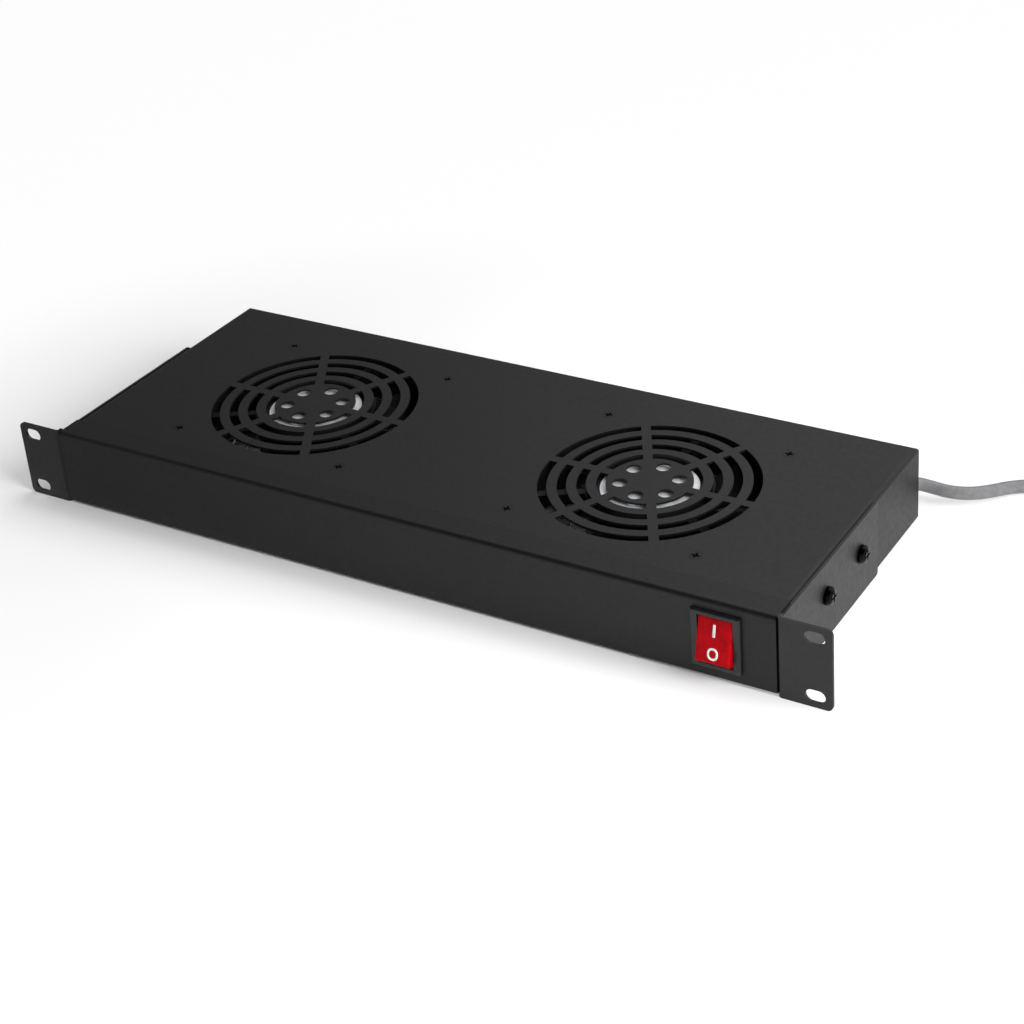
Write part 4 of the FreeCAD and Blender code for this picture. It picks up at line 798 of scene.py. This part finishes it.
def make_floor():
    """A pale square that is clear from below, so that the tray's underside can be looked at."""
    pale = linear("#f6f6f6")
    material, tree, surface = new_material("pale_floor", Roughness=0.9, Base_Color=pale)
    white = add_node(tree, "ShaderNodeEmission", {"Color": linear("#ffffff"), "Strength": 1.0})
    shown, away = showing_rays(tree, FLOOR_WHITE), away_from_tray(tree)
    share = add_node(tree, "ShaderNodeMath", {"operation": "MULTIPLY"}, _0=shown, _1=away)
    output = tree.nodes["Material Output"]
    below = add_node(tree, "ShaderNodeNewGeometry").outputs["Backfacing"]
    clear = add_node(tree, "ShaderNodeBsdfTransparent").outputs["BSDF"]
    seen = add_node(tree, "ShaderNodeMixShader", _0=below, _2=clear)
    plain, lit = surface.outputs["BSDF"], white.outputs["Emission"]
    mix_to_white(tree, share.outputs["Value"], plain, lit, seen.inputs[1])
    tree.links.new(seen.outputs["Shader"], output.inputs["Surface"])
    floor = flat_square("studio_floor", (0, 0, FLOOR), UPWARDS, (FLOOR_SIZE, FLOOR_SIZE), material)
    return floor


studio_floor = make_floor()
print("the %s lies at z = %.1f mm" % (studio_floor.name, FLOOR / MM))

# %% Sky
SKY_LIGHT = 0.3


def make_sky():
    """A dim white light from all round, seen as full white by the rays that show it."""
    world = bpy.data.worlds.new("studio")
    scene.world = world
    world.use_nodes = True
    tree = world.node_tree
    tree.nodes.clear()
    light, white = (
        add_node(tree, "ShaderNodeBackground", {"Color": linear("#ffffff"), "Strength": strength})
        for strength in (SKY_LIGHT, 1.0)
    )
    output = add_node(tree, "ShaderNodeOutputWorld")
    dim, full = light.outputs["Background"], white.outputs["Background"]
    mix_to_white(tree, showing_rays(tree, 1.0), dim, full, output.inputs["Surface"])


make_sky()
print("the sky gives %.0f%% of its white as light" % (SKY_LIGHT * 100))

# %% [markdown]
# ## Dark cards
#
# In a white room every edge of a black coat would shine. A studio hangs dark cards where the coat would mirror the
# room: one in front and one overhead, which darken the bends, one behind and one at the right, which calm the top
# plate, and one laid on the floor at the left, which paints the shade that lies on the floor there into the front
# panel's reflection. Those behind and on the floor grow thinner towards the right, so the tray's left end falls off.
# They are seen only in reflections, so they stop no light and hide nothing from any camera.

# %% Dark cards


def card_felt(name, left, right):
    """Black felt mixed with nothing; left and right are (x, share of felt), with a ramp between."""
    material, tree, felt = new_material(
        name, Roughness=1.0, Specular_IOR_Level=0.0, Base_Color=linear("#0a0a0a")
    )
    place = add_node(tree, "ShaderNodeTexCoord")
    across = add_node(tree, "ShaderNodeSeparateXYZ", Vector=place.outputs["Object"])
    limits = {"From Min": left[0], "From Max": right[0], "To Min": left[1], "To Max": right[1]}
    share = add_node(tree, "ShaderNodeMapRange", limits, Value=across.outputs["X"])
    clear = add_node(tree, "ShaderNodeBsdfTransparent")
    black, nothing = felt.outputs["BSDF"], clear.outputs["BSDF"]
    mix = add_node(tree, "ShaderNodeMixShader", _0=share.outputs["Result"], _1=nothing, _2=black)
    tree.links.new(mix.outputs["Shader"], tree.nodes["Material Output"].inputs["Surface"])
    return material


def make_card(name, middle, target, size, left=(-1.0, 1.0), right=(1.0, 1.0)):
    """A felt rectangle that faces its target and is seen in reflections alone."""
    towards = Vector(target) - Vector(middle)
    card = flat_square(name, middle, towards, size, card_felt(name + "_felt", left, right))
    card.visible_camera = False
    card.visible_diffuse = False
    card.visible_shadow = False
    return card


OVER_FLOOR = FLOOR + 0.5 * MM
BACK_FADE = (-1.15, 0.85), (-0.55, 0.5)
THIN_FELT = (-1.0, 0.8), (1.0, 0.8)
FLOOR_SHADE_FADE = (-0.3, 0.6), (0.15, 0.0)
cards = [
    make_card("front_card", (-0.3, -1.1, 1.2), (0.0, 0.0, 0.0), (3.6, 2.0)),
    make_card("over_card", (-0.3, -0.1, 1.5), (-0.3, -0.1, 0.0), (3.6, 1.7)),
    make_card("back_card", (-0.87, 1.5, 1.0), (0.0, 0.1, 0.0), (3.2, 1.8), *BACK_FADE),
    make_card("right_card", (1.7, 0.0, 0.75), (0.0, 0.0, 0.1), (2.6, 1.4), *THIN_FELT),
    # painted shade: a dark felt sheet on the floor, seen only in reflections, where the floor at the left lies in
    # shade
    make_card("floor_shade_card", (-0.3, -0.2, OVER_FLOOR), (-0.3, -0.2, 1.0), (1.0, 0.38), *FLOOR_SHADE_FADE),
]
print("cards:", [card.name for card in cards])

# %% [markdown]
# ## Lamps
#
# A large lamp at the right lights the arm, the cord and the paddle, and a larger, weaker one hangs behind and above.
# A coat seen at a grazing angle mirrors whatever stands beyond it, so the lamp at the right is kept out of
# reflections. Otherwise it would turn the black plate pale for anyone who looks from the left.

# %% Lamps


def make_lamp(name, place, target, size, power):
    """A rectangular lamp that faces its target; power is in watts."""
    data = bpy.data.lights.new(name, "AREA")
    data.shape = "RECTANGLE"
    data.size, data.size_y = size
    data.energy = power
    lamp = bpy.data.objects.new(name, data)
    scene.collection.objects.link(lamp)
    lamp.location = place
    towards = Vector(target) - Vector(place)
    lamp.rotation_euler = towards.to_track_quat("-Z", "Y").to_euler()
    return lamp


key_lamp = make_lamp("key_lamp", (1.2, -0.1, 0.7), (0.2, 0.05, 0.0), size=(0.9, 0.9), power=28.0)
key_lamp.visible_glossy = False
top_lamp = make_lamp("top_lamp", (0.2, 1.0, 1.7), (0.0, 0.1, 0.0), size=(1.6, 1.2), power=14.0)
scene.view_settings.view_transform = "Standard"
print("lamps:", key_lamp.name, top_lamp.name)
